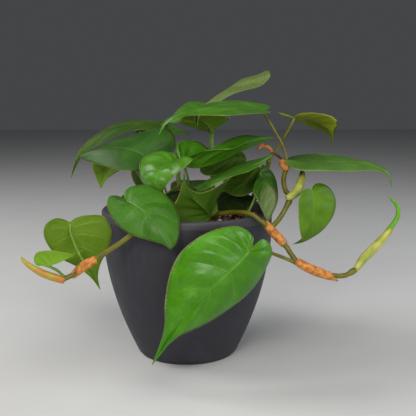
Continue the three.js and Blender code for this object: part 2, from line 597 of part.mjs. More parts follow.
// Loose chips on the surface: place on the surface, size, turn and kind.
const CHIPS = [
  ["bark_chip_right", 49, -18, 4.6, 0.4, BARK_BROWN],
  ["bark_chip_front", 38, -38, 4.2, 1.9, BARK_BROWN],
  ["bark_chip_left", -34, -30, 4.8, 2.6, BARK_BROWN],
  ["bark_chip_back", -8, 54, 4.4, 0.9, BARK_BROWN],
  ["perlite_right", 51, -10, 3.2, 0.2, PERLITE_WHITE],
  ["perlite_front", 50, -28, 3.0, 1.2, PERLITE_WHITE],
  ["perlite_left", -48, -8, 3.0, 2.2, PERLITE_WHITE],
];
for (const [name, x, y, size, turn, look] of CHIPS) {
  const geometry = new THREE.DodecahedronGeometry(size / 2)
    .scale(1.5, 1, 0.75)
    .rotateZ(turn)
    .translate(x, y, SOIL_TOP + 0.45 * size + 1.2);
  parts.set(name, { body: solid(geometry), look });
}

// ---------------------------------------------------------------- assembly
const group = new THREE.Group();
for (const [name, { body, look }] of parts) {
  const mesh = new THREE.Mesh(geometryOf(body), look);
  mesh.name = name;
  group.add(mesh);
}

export default group;
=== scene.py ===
"""A heartleaf philodendron in a round tapered pot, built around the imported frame.

The classes keep their sizes in millimetres, as on a drawing, and a mesh turns them into metres.
The origin is the centre of the pot's underside, +Z is up and the front faces -Y.
"""

import logging
import math
from collections.abc import Callable
from dataclasses import dataclass, field
from enum import Enum
from functools import cache, partial

import bpy
import numpy as np
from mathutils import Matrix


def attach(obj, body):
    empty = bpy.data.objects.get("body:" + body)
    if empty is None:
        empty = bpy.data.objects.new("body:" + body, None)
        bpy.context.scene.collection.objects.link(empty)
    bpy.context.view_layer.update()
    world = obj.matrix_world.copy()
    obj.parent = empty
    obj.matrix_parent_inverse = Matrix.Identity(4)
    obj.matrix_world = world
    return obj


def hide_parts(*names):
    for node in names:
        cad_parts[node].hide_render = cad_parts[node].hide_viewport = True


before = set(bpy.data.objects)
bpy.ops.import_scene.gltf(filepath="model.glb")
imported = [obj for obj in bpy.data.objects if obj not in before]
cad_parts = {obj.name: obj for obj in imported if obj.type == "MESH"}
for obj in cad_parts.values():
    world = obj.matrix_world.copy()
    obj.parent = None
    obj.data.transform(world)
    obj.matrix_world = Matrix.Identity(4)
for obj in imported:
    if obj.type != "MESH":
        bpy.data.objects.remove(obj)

LOG = logging.getLogger("philodendron")
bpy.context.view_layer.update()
MM = 0.001
# How many one-millimetre spots a noise pattern fits into a metre.
PER_MM = 1000.0
# Settings that most nodes share, and the numbers of the Mix node's colour sockets.
SMOOTH = {"interpolation_type": "SMOOTHSTEP"}
COLOUR = {"data_type": "RGBA"}
SHARE, FIRST, SECOND, MIXED = 0, 6, 7, 2
Point = tuple[float, float, float]
Path = tuple[Point, ...]


# ------------------------------------------------------------------ colours and shader nodes
def linear(code: str) -> tuple[float, float, float, float]:
    """Turns an sRGB hex colour into linear light.

    Args:
        code: a colour such as "5a8c3c".

    Returns:
        Red, green, blue and an alpha of 1, where each channel is ((c + 0.055) / 1.055) ^ 2.4,
        or c / 12.92 in the darkest tones.
    """
    parts = [int(code[i : i + 2], 16) / 255 for i in (0, 2, 4)]
    low = [c / 12.92 if c <= 0.04045 else ((c + 0.055) / 1.055) ** 2.4 for c in parts]
    return (low[0], low[1], low[2], 1.0)


def add(tree: bpy.types.NodeTree, kind: str, inputs: tuple | dict = (), take: int | str = 0,
        **settings: object) -> bpy.types.NodeSocket | None:
    """Adds one node to a material, with its settings, values and links.

    Args:
        tree: the material's node tree.
        kind: the node's type name without "ShaderNode".
        inputs: for each input, in order or by name or number, a value or the socket that feeds it.
        take: which output is wanted.
        settings: the node's own properties, such as operation or data_type.

    Returns:
        The wanted output's socket, or None for a node without outputs.
    """
    made = tree.nodes.new("ShaderNode" + kind)
    for key, value in settings.items():
        setattr(made, key, value)
    for key, value in (inputs if isinstance(inputs, dict) else dict(enumerate(inputs))).items():
        if isinstance(value, bpy.types.NodeSocket):
            tree.links.new(value, made.inputs[key])
        else:
            made.inputs[key].default_value = value
    return made.outputs[take] if len(made.outputs) else None


def blank(name: str) -> tuple[bpy.types.Material, Callable[..., bpy.types.NodeSocket | None]]:
    """Makes an empty node material.

    Args:
        name: the material's name.

    Returns:
        The material, and the function that adds a node to it.
    """
    made = bpy.data.materials.new(name)
    made.use_nodes = True
    made.node_tree.nodes.clear()
    return made, partial(add, made.node_tree)


# ------------------------------------------------------------------ finishes
@dataclass(frozen=True)
class LeafFinish:
    """A waxy leaf skin: satin above, dull below, with paler veins and a thin pale edge.

    Relief is how far the blade bulges between its veins, in millimetres, and scorch is how far
    along the blade a dry brown patch lies, or 0 for none.
    """

    name: str
    upper: str
    shade: str
    lower: str
    vein: str
    gloss: float = 0.34
    through: float = 0.1
    veins: float = 7.0
    relief: float = 0.55
    scorch: float = 0.0

    @cache
    def skin(self, under: bool) -> bpy.types.Material:
        """Makes the skin of one face of the blade, once for all leaves of a kind.

        The veins follow the blade's own map: across is 0 at the midrib and 1 at the margin,
        along is 0 at the notch and 1 at the tip, and a side vein lies wherever along times the
        number of veins is whole. Past the scorch the blade turns pale, as its lower face is.

        Args:
            under: whether this is the lower face.

        Returns:
            The material.
        """
        made, node = blank(f"{self.name}_{'under' if under else 'upper'}_waxy_leaf_skin")
        place = node("UVMap", uv_map="leaf")
        along = node("SeparateXYZ", (place,), 1)
        double = node("Math", (node("SeparateXYZ", (place,)), 2.0), operation="MULTIPLY")
        centred = node("Math", (double, 1.0), operation="SUBTRACT")
        across = node("Math", (centred,), operation="ABSOLUTE")
        spot = node("TexCoord", take="Object")
        cloud = node("TexNoise", {"Vector": spot, "Scale": PER_MM / 16, "Detail": 3.0})
        cells = node("TexNoise", {"Vector": spot, "Scale": PER_MM / 1.4, "Detail": 2.0})
        beat = node("Math", (along, self.veins), operation="MULTIPLY")
        wave = node("Math", (beat, 0.5), operation="PINGPONG")
        side = node("MapRange", (wave, 0.0, 0.075, 1.0, 0.0), **SMOOTH)
        reach = node("MapRange", (across, 0.45, 0.95, 0.5, 0.0), **SMOOTH)
        side = node("Math", (side, reach), operation="MULTIPLY")
        rib = node("MapRange", (across, 0.005, 0.05, 1.0, 0.0), **SMOOTH)
        fade = node("MapRange", (along, 0.5, 0.95, 1.0, 0.1), **SMOOTH)
        rib = node("Math", (rib, fade), operation="MULTIPLY")
        lines = node("Math", (side, rib), operation="MAXIMUM")
        tones = (self.lower, self.lower) if under else (self.shade, self.upper)
        layers = [(node("MapRange", (cells, 0.35, 0.75, 0.0, 0.16), **SMOOTH), self.vein),
                  (node("Math", (lines, 0.6 if under else 0.3), operation="MULTIPLY"), self.vein),
                  (node("MapRange", (across, 0.96, 0.99, 0.0, 0.75), **SMOOTH), "a8a858")]
        if self.scorch:
            pale = (along, self.scorch - 0.2, self.scorch, 0.0, 0.85)
            away = node("VectorMath", (place, (0.74, self.scorch, 0.0)), "Value",
                        operation="DISTANCE")
            fray = node("Math", (cells, 0.08), operation="MULTIPLY")
            ragged = node("Math", (away, fray), operation="ADD")
            layers.append((node("MapRange", pale, **SMOOTH), self.lower))
            layers.append((node("MapRange", (ragged, 0.1, 0.15, 1.0, 0.0), **SMOOTH), "8a5a28"))
        base = linear(tones[0])
        for share, tone in [(node("MapRange", (cloud, 0.38, 0.66), **SMOOTH), tones[1]), *layers]:
            base = node("Mix", {SHARE: share, FIRST: base, SECOND: linear(tone)}, MIXED, **COLOUR)
        height = node("Math", (lines, 0.6 if under else -0.7), operation="MULTIPLY")
        grain = node("Math", (cells, 0.16), operation="MULTIPLY")
        height = node("Math", (height, grain), operation="ADD")
        bump = node("Bump", {"Height": height, "Strength": 0.6, "Distance": 0.5 * MM})
        least, most = (0.2, 0.28) if under else (0.0, 0.1)
        rough = node("MapRange", (cloud, 0.3, 0.7, self.gloss + least, self.gloss + most),
                     **SMOOTH)
        skin = node("BsdfPrincipled", {"Base Color": base, "Roughness": rough, "Normal": bump,
                                       "IOR": 1.42, "Specular IOR Level": 0.42})
        glow = node("BsdfTranslucent", {"Color": linear("7fae10"), "Normal": bump})
        node("OutputMaterial", (node("MixShader", (self.through, skin, glow)),))
        return made


@dataclass(frozen=True)
class StemFinish:
    """A smooth or fibrous stem skin with paler and darker patches and fine length-wise lines."""

    name: str
    base: str
    patch: str
    roughness: float = 0.5
    patch_size: float = 7.0

    @cache
    def material(self) -> bpy.types.Material:
        """Makes the material: patches of the second colour, and lines along the stem.

        Returns:
            The material.
        """
        made, node = blank(self.name)
        spot = node("TexCoord", take="Object")
        place = node("UVMap", uv_map="leaf")
        patches = node("TexNoise", {"Vector": spot, "Scale": PER_MM / self.patch_size,
                                    "Detail": 3.0})
        patches = node("MapRange", (patches, 0.4, 0.65), **SMOOTH)
        base = node("Mix", {SHARE: patches, FIRST: linear(self.base),
                            SECOND: linear(self.patch)}, MIXED, **COLOUR)
        drawn = node("Mapping", {"Vector": place, "Scale": (30.0, 1.6, 1.0)})
        fibre = node("TexNoise", {"Vector": drawn, "Scale": 1.0, "Detail": 3.0})
        furrow = node("MapRange", (fibre, 0.3, 0.6, 0.35, 0.0), **SMOOTH)
        dark = node("Mix", {SHARE: furrow, FIRST: base, SECOND: linear("3a2c12")}, MIXED,
                    blend_type="MULTIPLY", **COLOUR)
        bump = node("Bump", {"Height": fibre, "Strength": 0.4, "Distance": 0.3 * MM})
        skin = node("BsdfPrincipled", {"Base Color": dark, "Roughness": self.roughness,
                                       "Normal": bump})
        node("OutputMaterial", (skin,))
        return made


@dataclass(frozen=True)
class PotFinish:
    """Moulded matt plastic in dark bluish grey: mottled with dust, faint drips and pale specks.

    A painted highlight lies on the rim band: it starts to turn paler at its first height in
    millimetres, and is palest above the second.
    """

    name: str = "moulded_matt_grey_plastic"
    base: str = "21222b"
    dust: str = "353642"
    # The colour of the painted highlight on the rim band.
    rim: str = "3e3e46"
    rim_highlight_band: tuple[float, float] = (105.0, 107.0)
    roughness: float = 0.58

    @cache
    def material(self) -> bpy.types.Material:
        """Makes the material from a dust cloud, upright streaks, a painted rim highlight and faint
        specks.

        Returns:
            The material.
        """
        made, node = blank(self.name)
        spot = node("TexCoord", take="Object")
        cloud = node("TexNoise", {"Vector": spot, "Scale": PER_MM / 14, "Detail": 4.0})
        drawn = node("Mapping", {"Vector": spot, "Scale": (1.0, 1.0, 0.08)})
        streak = node("TexNoise", {"Vector": drawn, "Scale": PER_MM / 5, "Detail": 3.0})
        grain = node("TexNoise", {"Vector": spot, "Scale": PER_MM / 0.9, "Detail": 1.0})
        height = node("SeparateXYZ", (spot,), 2)
        flecks = node("TexVoronoi", {"Vector": spot, "Scale": 90.0, "Randomness": 1.0},
                      "Distance")
        # The painted highlight on the rim band: paler from the first height up to the second.
        low, high = self.rim_highlight_band
        base = linear(self.base)
        for limits, tone in (((cloud, 0.4, 0.75, 0.0, 0.45), self.dust),
                             ((streak, 0.5, 0.75, 0.0, 0.25), self.dust),
                             ((grain, 0.3, 0.7, 0.0, 0.16), "26262b"),
                             ((height, low * MM, high * MM, 0.0, 0.7), self.rim),
                             ((flecks, 0.02, 0.05, 0.4, 0.0), "8a8a8e")):
            share = node("MapRange", limits, **SMOOTH)
            base = node("Mix", {SHARE: share, FIRST: base, SECOND: linear(tone)}, MIXED, **COLOUR)
        bump = node("Bump", {"Height": grain, "Strength": 0.18, "Distance": 0.15 * MM})
        rough = node("MapRange", (cloud, 0.3, 0.7, self.roughness - 0.05, self.roughness + 0.08),
                     **SMOOTH)
        skin = node("BsdfPrincipled", {"Base Color": base, "Roughness": rough, "Normal": bump})
        node("OutputMaterial", (skin,))
        return made


@dataclass(frozen=True)
class EarthFinish:
    """A rough crumbly surface, such as bark, coir mix or perlite, in three tones."""

    name: str
    dark: str
    middle: str
    light: str
    grain: float = 1.2

    @cache
    def material(self) -> bpy.types.Material:
        """Makes the material: a coarse and a fine cloud pick between the tones.

        Returns:
            The material.
        """
        made, node = blank(self.name)
        spot = node("TexCoord", take="Object")
        coarse = node("TexNoise", {"Vector": spot, "Scale": PER_MM / (5 * self.grain),
                                   "Detail": 3.0})
        fine = node("TexNoise", {"Vector": spot, "Scale": PER_MM / self.grain, "Detail": 3.0})
        base = linear(self.dark)
        for limits, tone in (((coarse, 0.35, 0.62), self.middle),
                             ((fine, 0.5, 0.75, 0.0, 0.8), self.light)):
            share = node("MapRange", limits, **SMOOTH)
            base = node("Mix", {SHARE: share, FIRST: base, SECOND: linear(tone)}, MIXED, **COLOUR)
        bump = node("Bump", {"Height": fine, "Strength": 0.8, "Distance": 0.6 * MM})
        skin = node("BsdfPrincipled", {"Base Color": base, "Roughness": 0.9, "Normal": bump})
        node("OutputMaterial", (skin,))
        return made


class Leafage(Enum):
    """The kinds of leaf on the plant, by age and light."""

    BRIGHT = LeafFinish("bright", "458c02", "377600", "5c7a06", "76a83c", gloss=0.3, relief=0.9)
    FOREST = LeafFinish("forest", "38700a", "2e6008", "587608", "6e9a3c", gloss=0.4, relief=0.4)
    FRESH = LeafFinish("fresh", "4a8418", "3c7210", "587608", "82b050", gloss=0.28)
    MATURE = LeafFinish("mature", "467414", "386412", "587608", "7aa648")
    MEADOW = LeafFinish("meadow", "428410", "36700a", "3c7404", "84b848", gloss=0.3)
    SATIN = LeafFinish("satin", "447a14", "386a12", "587608", "7aa650", gloss=0.36, relief=0.35)
    LIME = LeafFinish("lime", "548200", "467000", "587608", "78a02c", gloss=0.5, relief=0.3)
    SAGE = LeafFinish("sage", "54802c", "487228", "587608", "84a65c", gloss=0.4, relief=0.3)
    DEEP = LeafFinish("deep", "2c5a0e", "234a0c", "4c6a10", "5a8438", gloss=0.44, relief=0.2)
    ASHEN = LeafFinish("ashen", "30640a", "285408", "667a48", "728c50", gloss=0.42, scorch=0.72)
    # Pale grey-green colours that paint the sheen of a leaf seen at a grazing angle.
    PAINTED_SHEEN = LeafFinish("painted_sheen", "6c8040", "5c7038", "70803a", "8ca068", gloss=0.5, relief=0.3)
    GLOWING = LeafFinish("glowing", "567f00", "4a7000", "547800", "92b030", gloss=0.45,
                         relief=0.35)
    OLIVE = LeafFinish("olive", "6c8008", "5e7206", "768208", "98a444", gloss=0.42, relief=0.3)
    TENDER = LeafFinish("tender", "6cae0c", "5c9c0a", "74a420", "a8cc58", gloss=0.45)
    MOSS = LeafFinish("moss", "325602", "284800", "3a5e00", "587820", gloss=0.5, relief=0.35)
    SHADED = LeafFinish("shaded", "1e3202", "182802", "243404", "34481a", gloss=0.55)


class Stemwood(Enum):
    """The stem and sheath finishes on the plant."""

    OLIVE = StemFinish("smooth_olive_stem_skin", "6c6c0a", "5a5404", 0.5)
    FRESH = StemFinish("fresh_green_stalk_skin", "5f861c", "6f9a2c", 0.42)
    DRY = StemFinish("dry_papery_sheath", "d28c3c", "a4602a", 0.7, 3.0)
    CREAM = StemFinish("soft_cream_green_sheath", "b8b85c", "94a03c", 0.5, 8.0)
    TIP = StemFinish("orange_tinged_tip_sheath", "a8a038", "c07a2c", 0.5, 6.0)
    BROWN = StemFinish("dry_brown_stem_skin", "6e4c22", "4c3416", 0.75, 4.0)


# ------------------------------------------------------------------ curves and surfaces
def unit(vectors: np.ndarray) -> np.ndarray:
    """Scales each vector to a length of one.

    Args:
        vectors: an array whose last axis is x, y, z.

    Returns:
        The array of unit vectors.
    """
    return vectors / np.maximum(np.linalg.norm(vectors, axis=-1, keepdims=True), 1e-9)


def catmull_rom(knots: np.ndarray, at: np.ndarray) -> np.ndarray:
    """Follows a smooth curve through knots that are evenly spaced in the parameter.

    Args:
        knots: the points that it passes through, (n, 3).
        at: where on it, each from 0 to 1.

    Returns:
        The points: on each span, half of (2 b + (c - a) t + (2 a - 5 b + 4 c - d) t^2
        + (3 b - a - 3 c + d) t^3), where a, b, c and d are the four knots around the span.
    """
    spans = len(knots) - 1
    padded = np.vstack([2 * knots[0] - knots[1], knots, 2 * knots[-1] - knots[-2]])
    u = np.clip(at * spans, 0, spans - 1e-9)
    first = u.astype(int)
    t = (u - first)[:, None]
    a, b, c, d = (padded[first + k] for k in range(4))
    return 0.5 * (2 * b + (c - a) * t + (2 * a - 5 * b + 4 * c - d) * t**2
                  + (3 * b - a - 3 * c + d) * t**3)


def along_path(points: Path, stations: np.ndarray) -> tuple[np.ndarray, np.ndarray, np.ndarray,
                                                            np.ndarray]:
    """Follows a path at given shares of its length, with a steady cross frame.

    Args:
        points: the path's points in millimetres.
        stations: shares of the length, each from 0 to 1.

    Returns:
        The places, and three unit vectors at each: along the path, and two across it. The
        first cross vector is the direction that the path turns towards least, made square to
        the path, and the second is the cross product of the other two.
    """
    fine = catmull_rom(np.array(points, float), np.linspace(0, 1, 400))
    walked = np.concatenate([[0], np.cumsum(np.linalg.norm(np.diff(fine, axis=0), axis=1))])
    share = walked / walked[-1]
    places = np.stack([np.interp(stations, share, fine[:, k]) for k in range(3)], -1)
    slopes = unit(np.gradient(fine, axis=0))
    along = unit(np.stack([np.interp(stations, share, slopes[:, k]) for k in range(3)], -1))
    steady = np.linalg.svd(slopes, full_matrices=False)[2][-1]
    across = unit(steady - (along @ steady)[:, None] * along)
    return places, along, across, np.cross(along, across)


def waves(places: np.ndarray, size: float, seed: int, count: int = 9) -> np.ndarray:
    """Makes gentle random unevenness.

    Args:
        places: points in millimetres, with x, y, z on the last axis.
        size: the typical distance between two humps, in millimetres.
        seed: which unevenness.
        count: how many waves are added.

    Returns:
        A height from about -1 to 1 at each point: the mean of sine waves that run in random
        directions, each about one wave in the given size.
    """
    rng = np.random.default_rng(seed)
    ways = unit(rng.normal(size=(count, 3))) * (2 * math.pi / size)
    ways = ways * rng.uniform(0.6, 1.6, (count, 1))
    shift = rng.uniform(0, 2 * math.pi, count)
    return np.sin(places @ ways.T + shift).mean(-1) * 2.2


def mesh_object(name: str, points: np.ndarray, faces: list[list[int]],
                materials: list[bpy.types.Material], chart: np.ndarray | None = None,
                smooth: bool = True) -> bpy.types.Object:
    """Makes one mesh object and puts it in the scene.

    Args:
        name: the object's name.
        points: its points in millimetres, (n, 3).
        faces: the numbers of each face's points.
        materials: the object's materials.
        chart: the map coordinates of each point, (n, 2), or None for no map.
        smooth: whether it is shaded smooth.

    Returns:
        The object.
    """
    mesh = bpy.data.meshes.new(name)
    mesh.from_pydata((points * MM).tolist(), [], faces)
    if chart is not None:
        corners = np.empty(len(mesh.loops), np.int32)
        mesh.loops.foreach_get("vertex_index", corners)
        layer = mesh.uv_layers.new(name="leaf")
        layer.data.foreach_set("uv", chart[corners].astype(np.float32).ravel())
    for material in materials:
        mesh.materials.append(material)
    mesh.polygons.foreach_set("use_smooth", np.full(len(mesh.polygons), smooth))
    mesh.update()
    made = bpy.data.objects.new(name, mesh)
    bpy.context.scene.collection.objects.link(made)
    return made


def closed_shell(name: str, grid: np.ndarray, chart: np.ndarray,
                 materials: list[bpy.types.Material],
                 kinds: np.ndarray | None = None) -> bpy.types.Object:
    """Makes one closed surface from a grid of points.

    The first and last rows are single points, the poles, and the last column joins the first.
    Faces are turned outwards by the sign of the enclosed volume.

    Args:
        name: the object's name.
        grid: the points in millimetres, (rows, columns, 3).
        chart: the map coordinates of each point, (rows, columns, 2).
        materials: the object's materials.
        kinds: the material number of each column of faces, or None for the first.

    Returns:
        The object.
    """
    rows, columns = grid.shape[:2]
    body = grid[1:-1].reshape(-1, 3)
    points = np.vstack([grid[0, :1], body, grid[-1, :1]])
    maps = np.vstack([chart[0, :1], chart[1:-1].reshape(-1, 2), chart[-1, :1]])
    here = np.arange(columns)
    beside = (here + 1) % columns
    first = 1 + np.arange(rows - 3)[:, None] * columns
    quads = np.stack([first + here, first + beside, first + columns + beside,
                      first + columns + here], -1).reshape(-1, 4)
    last = 1 + (rows - 3) * columns
    start = np.stack([np.zeros(columns, int), 1 + beside, 1 + here], -1)
    end = np.stack([np.full(columns, len(points) - 1), last + here, last + beside], -1)
    a, b, c, d = (points[quads[:, k]] for k in range(4))
    volume = (np.einsum("ij,ij->i", a, np.cross(b, c)).sum()
              + np.einsum("ij,ij->i", a, np.cross(c, d)).sum())
    if volume < 0:
        quads, start, end = quads[:, ::-1], start[:, ::-1], end[:, ::-1]
    made = mesh_object(name, points, quads.tolist() + start.tolist() + end.tolist(), materials,
                       maps)
    if kinds is not None:
        picks = np.concatenate([np.tile(kinds, rows - 3), kinds, kinds]).astype(np.int32)
        made.data.polygons.foreach_set("material_index", picks)
        made.data.update()
    return made


def round_tube(points: Path, radius: np.ndarray, stations: np.ndarray, sides: int,
               flat: float = 1.0) -> tuple[np.ndarray, np.ndarray]:
    """Carries a round section along a path and closes both ends.

    Each point is the path's place plus radius times (cos a across + flat sin a the other way).

    Args:
        points: the path in millimetres.
        radius: the radius at each station, in millimetres.
        stations: shares of the path's length.
        sides: how many points the section has.
        flat: the section's depth as a share of its width.

    Returns:
        The grid of points and its map coordinates.
    """
    places, _, across, other = along_path(points, stations)
    turn = np.linspace(0, 2 * math.pi, sides, endpoint=False)
    ring = (np.cos(turn)[None, :, None] * across[:, None]
            + flat * np.sin(turn)[None, :, None] * other[:, None])
    grid = places[:, None] + radius[:, None, None] * ring
    grid = np.concatenate([np.repeat(places[:1, None], sides, 1), grid,
                           np.repeat(places[-1:, None], sides, 1)])
    share = np.concatenate([stations[:1], stations, stations[-1:]])
    chart = np.stack(np.broadcast_arrays(turn[None] / (2 * math.pi), share[:, None]), -1)
    return grid, chart


def join(name: str, pieces: list[bpy.types.Object]) -> bpy.types.Object:
    """Joins objects into the first of them.

    Args:
        name: the joined object's name.
        pieces: the objects.

    Returns:
        The joined object.
    """
    for piece in bpy.context.selected_objects:
        piece.select_set(False)
    for piece in pieces:
        piece.select_set(True)
    bpy.context.view_layer.objects.active = pieces[0]
    bpy.ops.object.join()
    pieces[0].name = name
    return pieces[0]


def settle(piece: bpy.types.Object, slot: str, *nodes: str) -> bpy.types.Object:
    """Rides a finished piece on the model and lets it stand for its frame nodes.

    Args:
        piece: the finished object.
        slot: the record's material slot; not used.
        nodes: the frame nodes that it replaces.

    Returns:
        The same object.
    """
    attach(piece, "root")
    if nodes:
        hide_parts(*nodes)
    return piece


# ------------------------------------------------------------------ leaves
# A vein that ends at a share of the margin starts on the midrib at that share to this power.
VEIN_FOOT = 2.4
# How far a vein bows back towards the notch at most, as a share of its length.
VEIN_BOW = 0.16
# Puff is the swelling of a half this wide, and quilting is full from the second width on.
PUFF_WIDTH, QUILT_WIDTH = 30, 25
# The groove along the midrib above, and the ridge below: depth or height, and width.
GROOVE_DEPTH, GROOVE_WIDTH = 0.45, 1.8
RIDGE_HEIGHT, RIDGE_WIDTH = 0.9, 1.1


@dataclass
class Leaf:
    """One leaf: a heart-shaped blade on its stalk.

    The midrib runs from the notch to the tip. The left and right margins, seen on the upper
    face with the tip down, run from the notch round the lobe and the flank to the tip. Puff is
    how high each half of the blade swells, in millimetres on a half that is 30 mm wide.
    """

    name: str
    rib: Path
    left: Path
    right: Path
    stalk: Path
    kind: Leafage
    slot: str = "leaf"
    puff: float = 1.0
    rows: int = 60
    half_columns: int = 14
    thickness: float = 0.42
    stalk_radius: float = 1.1
    stalk_finish: Stemwood = Stemwood.FRESH

    def midrib(self, at: np.ndarray) -> tuple[np.ndarray, np.ndarray]:
        """Follows the midrib: the cubic through its four points at 0, 1/3, 2/3 and 1.

        Args:
            at: where on it, each from 0 to 1.

        Returns:
            The places and the unit directions there.
        """
        p, q, r, s = np.array(self.rib, float)
        early = (-5 * p + 18 * q - 9 * r + 2 * s) / 6
        late = (2 * p - 9 * q + 18 * r - 5 * s) / 6
        t = at[:, None]
        place = ((1 - t) ** 3 * p + 3 * t * (1 - t) ** 2 * early
                 + 3 * t**2 * (1 - t) * late + t**3 * s)
        slope = (3 * (1 - t) ** 2 * (early - p) + 6 * t * (1 - t) * (late - early)
                 + 3 * t**2 * (s - late))
        return place, unit(slope)

    def half(self, sign: int, along: np.ndarray, across: np.ndarray) -> tuple[np.ndarray,
                                                                              np.ndarray]:
        """Spans half of the blade with veins that leave the midrib and bow towards the tip.

        A vein is the quadratic curve whose middle control point is halfway, moved back towards
        the notch by its bow times sin(pi along). The half then swells by 4 s (1 - s) across,
        and is quilted between veins by a cosine of the same beat as the veins. A groove runs
        along the midrib and dies away towards the tip.

        Args:
            sign: -1 for the left half and 1 for the right.
            along: where each row is, from 0 at the notch to 1 at the tip.
            across: where each column is, from 0 at the midrib to 1 at the margin.

        Returns:
            The points, (rows, columns, 3), and the upward unit vector of each row.
        """
        side = self.left if sign < 0 else self.right
        knots = np.array([self.rib[0], *side, self.rib[3]], float)
        margin = catmull_rom(knots, along)
        root, slope = self.midrib(along**VEIN_FOOT)
        reach = margin - root
        length = np.linalg.norm(reach, axis=-1, keepdims=True)
        up = unit(np.cross(slope, reach) * sign)
        bow = VEIN_BOW * np.sin(math.pi * along)[:, None] * length
        control = root + 0.5 * reach - slope * bow
        s = across[None, :, None]
        grid = ((1 - s) ** 2 * root[:, None] + 2 * s * (1 - s) * control[:, None]
                + s**2 * margin[:, None])
        width = length[:, None]
        swell = (self.puff / PUFF_WIDTH) * width * 4 * s * (1 - s)
        finish = self.kind.value
        beat = np.cos(2 * math.pi * finish.veins * along)[:, None, None]
        quilt = -finish.relief * beat * np.sin(math.pi * s) * np.minimum(width / QUILT_WIDTH, 1)
        fade = (1 - along)[:, None, None] ** 2
        groove = -GROOVE_DEPTH * np.exp(-((s * width / GROOVE_WIDTH) ** 2)) * fade
        grid = grid + up[:, None] * (swell + quilt + groove)
        return grid, up

    def blade(self) -> bpy.types.Object:
        """Builds the blade as a closed shell: across the upper face and back along the lower.

        Half the thickness is t (1 - x^4), so the shell runs out to the margin, and below it
        the midrib stands out as a rounded ridge that dies away towards the tip.

        Returns:
            The object, with the upper skin first and the lower skin second.
        """
        along = np.linspace(0, 1, self.rows + 1)
        spread = np.linspace(0, 1, self.half_columns + 1) ** 1.15
        left, up_left = self.half(-1, along, spread)
        right, up_right = self.half(1, along, spread)
        middle = unit(up_left + up_right)
        sheet = np.concatenate([left[:, ::-1], right[:, 1:]], 1)
        x = np.concatenate([-spread[::-1], spread[1:]])
        lean = np.abs(x)[None, :, None] ** 0.5
        flank = np.where(x[None, :, None] < 0, up_left[:, None], up_right[:, None])
        up = unit(middle[:, None] * (1 - lean) + flank * lean)
        taper = np.sin(math.pi * np.clip(along, 0, 1))[:, None] ** 0.25
        half = 0.5 * self.thickness * taper * (1 - x[None] ** 4)
        girth = np.linalg.norm(right[:, -1] - right[:, 0], axis=-1)[:, None] + 1e-6
        bell = np.exp(-((x[None] * girth / RIDGE_WIDTH) ** 2))
        ridge = RIDGE_HEIGHT * (1 - along[:, None]) * bell * taper
        top = sheet + up * half[..., None]
        bottom = sheet - up * (half + ridge)[..., None]
        grid = np.concatenate([top, bottom[:, -2:0:-1]], 1)
        u = np.concatenate([x, x[-2:0:-1]])
        chart = np.stack(np.broadcast_arrays(0.5 + 0.5 * u[None], along[:, None]), -1)
        count = grid.shape[1]
        kinds = (np.arange(count) >= 2 * self.half_columns).astype(int)
        finish = self.kind.value
        return closed_shell(self.name, grid, chart, [finish.skin(False), finish.skin(True)], kinds)

    def stem(self) -> bpy.types.Object:
        """Builds the stalk: a tube that is a little thicker at its root and below the blade.

        Returns:
            The object.
        """
        notch, following = np.array(self.rib[0], float), np.array(self.rib[1], float)
        seat = notch + 0.08 * (following - notch)
        stations = np.linspace(0, 1, 36)
        radius = self.stalk_radius * (0.86 + 0.35 * np.exp(-stations / 0.08)
                                      + 0.12 * np.exp((stations - 1) / 0.1))
        grid, chart = round_tube((*self.stalk, tuple(seat)), radius, stations, 14)
        return closed_shell(self.name + "_stalk", grid, chart,
                            [self.stalk_finish.value.material()])

    def build(self) -> bpy.types.Object:
        """Builds the leaf, joins its blade and stalk, and settles it on the model.

        Returns:
            The finished object.
        """
        whole = join(self.name, [self.blade(), self.stem()])
        return settle(whole, self.slot, self.name)


# ------------------------------------------------------------------ stems and sheaths
# A joint's swelling and its ring scar: share of the radius and half width, and the scar's place
# beyond the joint.
JOINT_SWELL, JOINT_WIDTH = 0.3, 2.4
SCAR_DEPTH, SCAR_WIDTH, SCAR_AWAY = 0.12, 0.6, 3.2


@dataclass
class Vine:
    """A vine or stem: a round tube that swells at each joint, with a ring scar beside it."""

    name: str
    path: Path
    joints: tuple[float, ...] = ()
    finish: Stemwood = Stemwood.OLIVE
    radius: float = 1.75
    end_share: float = 1.0
    sides: int = 22

    def build(self) -> bpy.types.Object:
        """Builds the tube: its radius rises by the swelling in a bell around each joint.

        Returns:
            The finished object.
        """
        steps = np.diff(np.array(self.path, float), axis=0)
        length = np.linalg.norm(steps, axis=1).sum()
        stations = np.linspace(0, 1, max(12, int(length / 0.8)))
        radius = self.radius * (1 - (1 - self.end_share) * stations)
        for joint in self.joints:
            away = (stations - joint) * length
            swelling = JOINT_SWELL * np.exp(-((away / JOINT_WIDTH) ** 2))
            scar = SCAR_DEPTH * np.exp(-(((away - SCAR_AWAY) / SCAR_WIDTH) ** 2))
            radius = radius + self.radius * (swelling - scar)
        grid, chart = round_tube(self.path, radius, stations, self.sides)
        grid = grid + 0.06 * waves(grid, 3.0, 5)[..., None]
        shell = closed_shell(self.name, grid, chart, [self.finish.value.material()])
        return settle(shell, "stem", self.name)


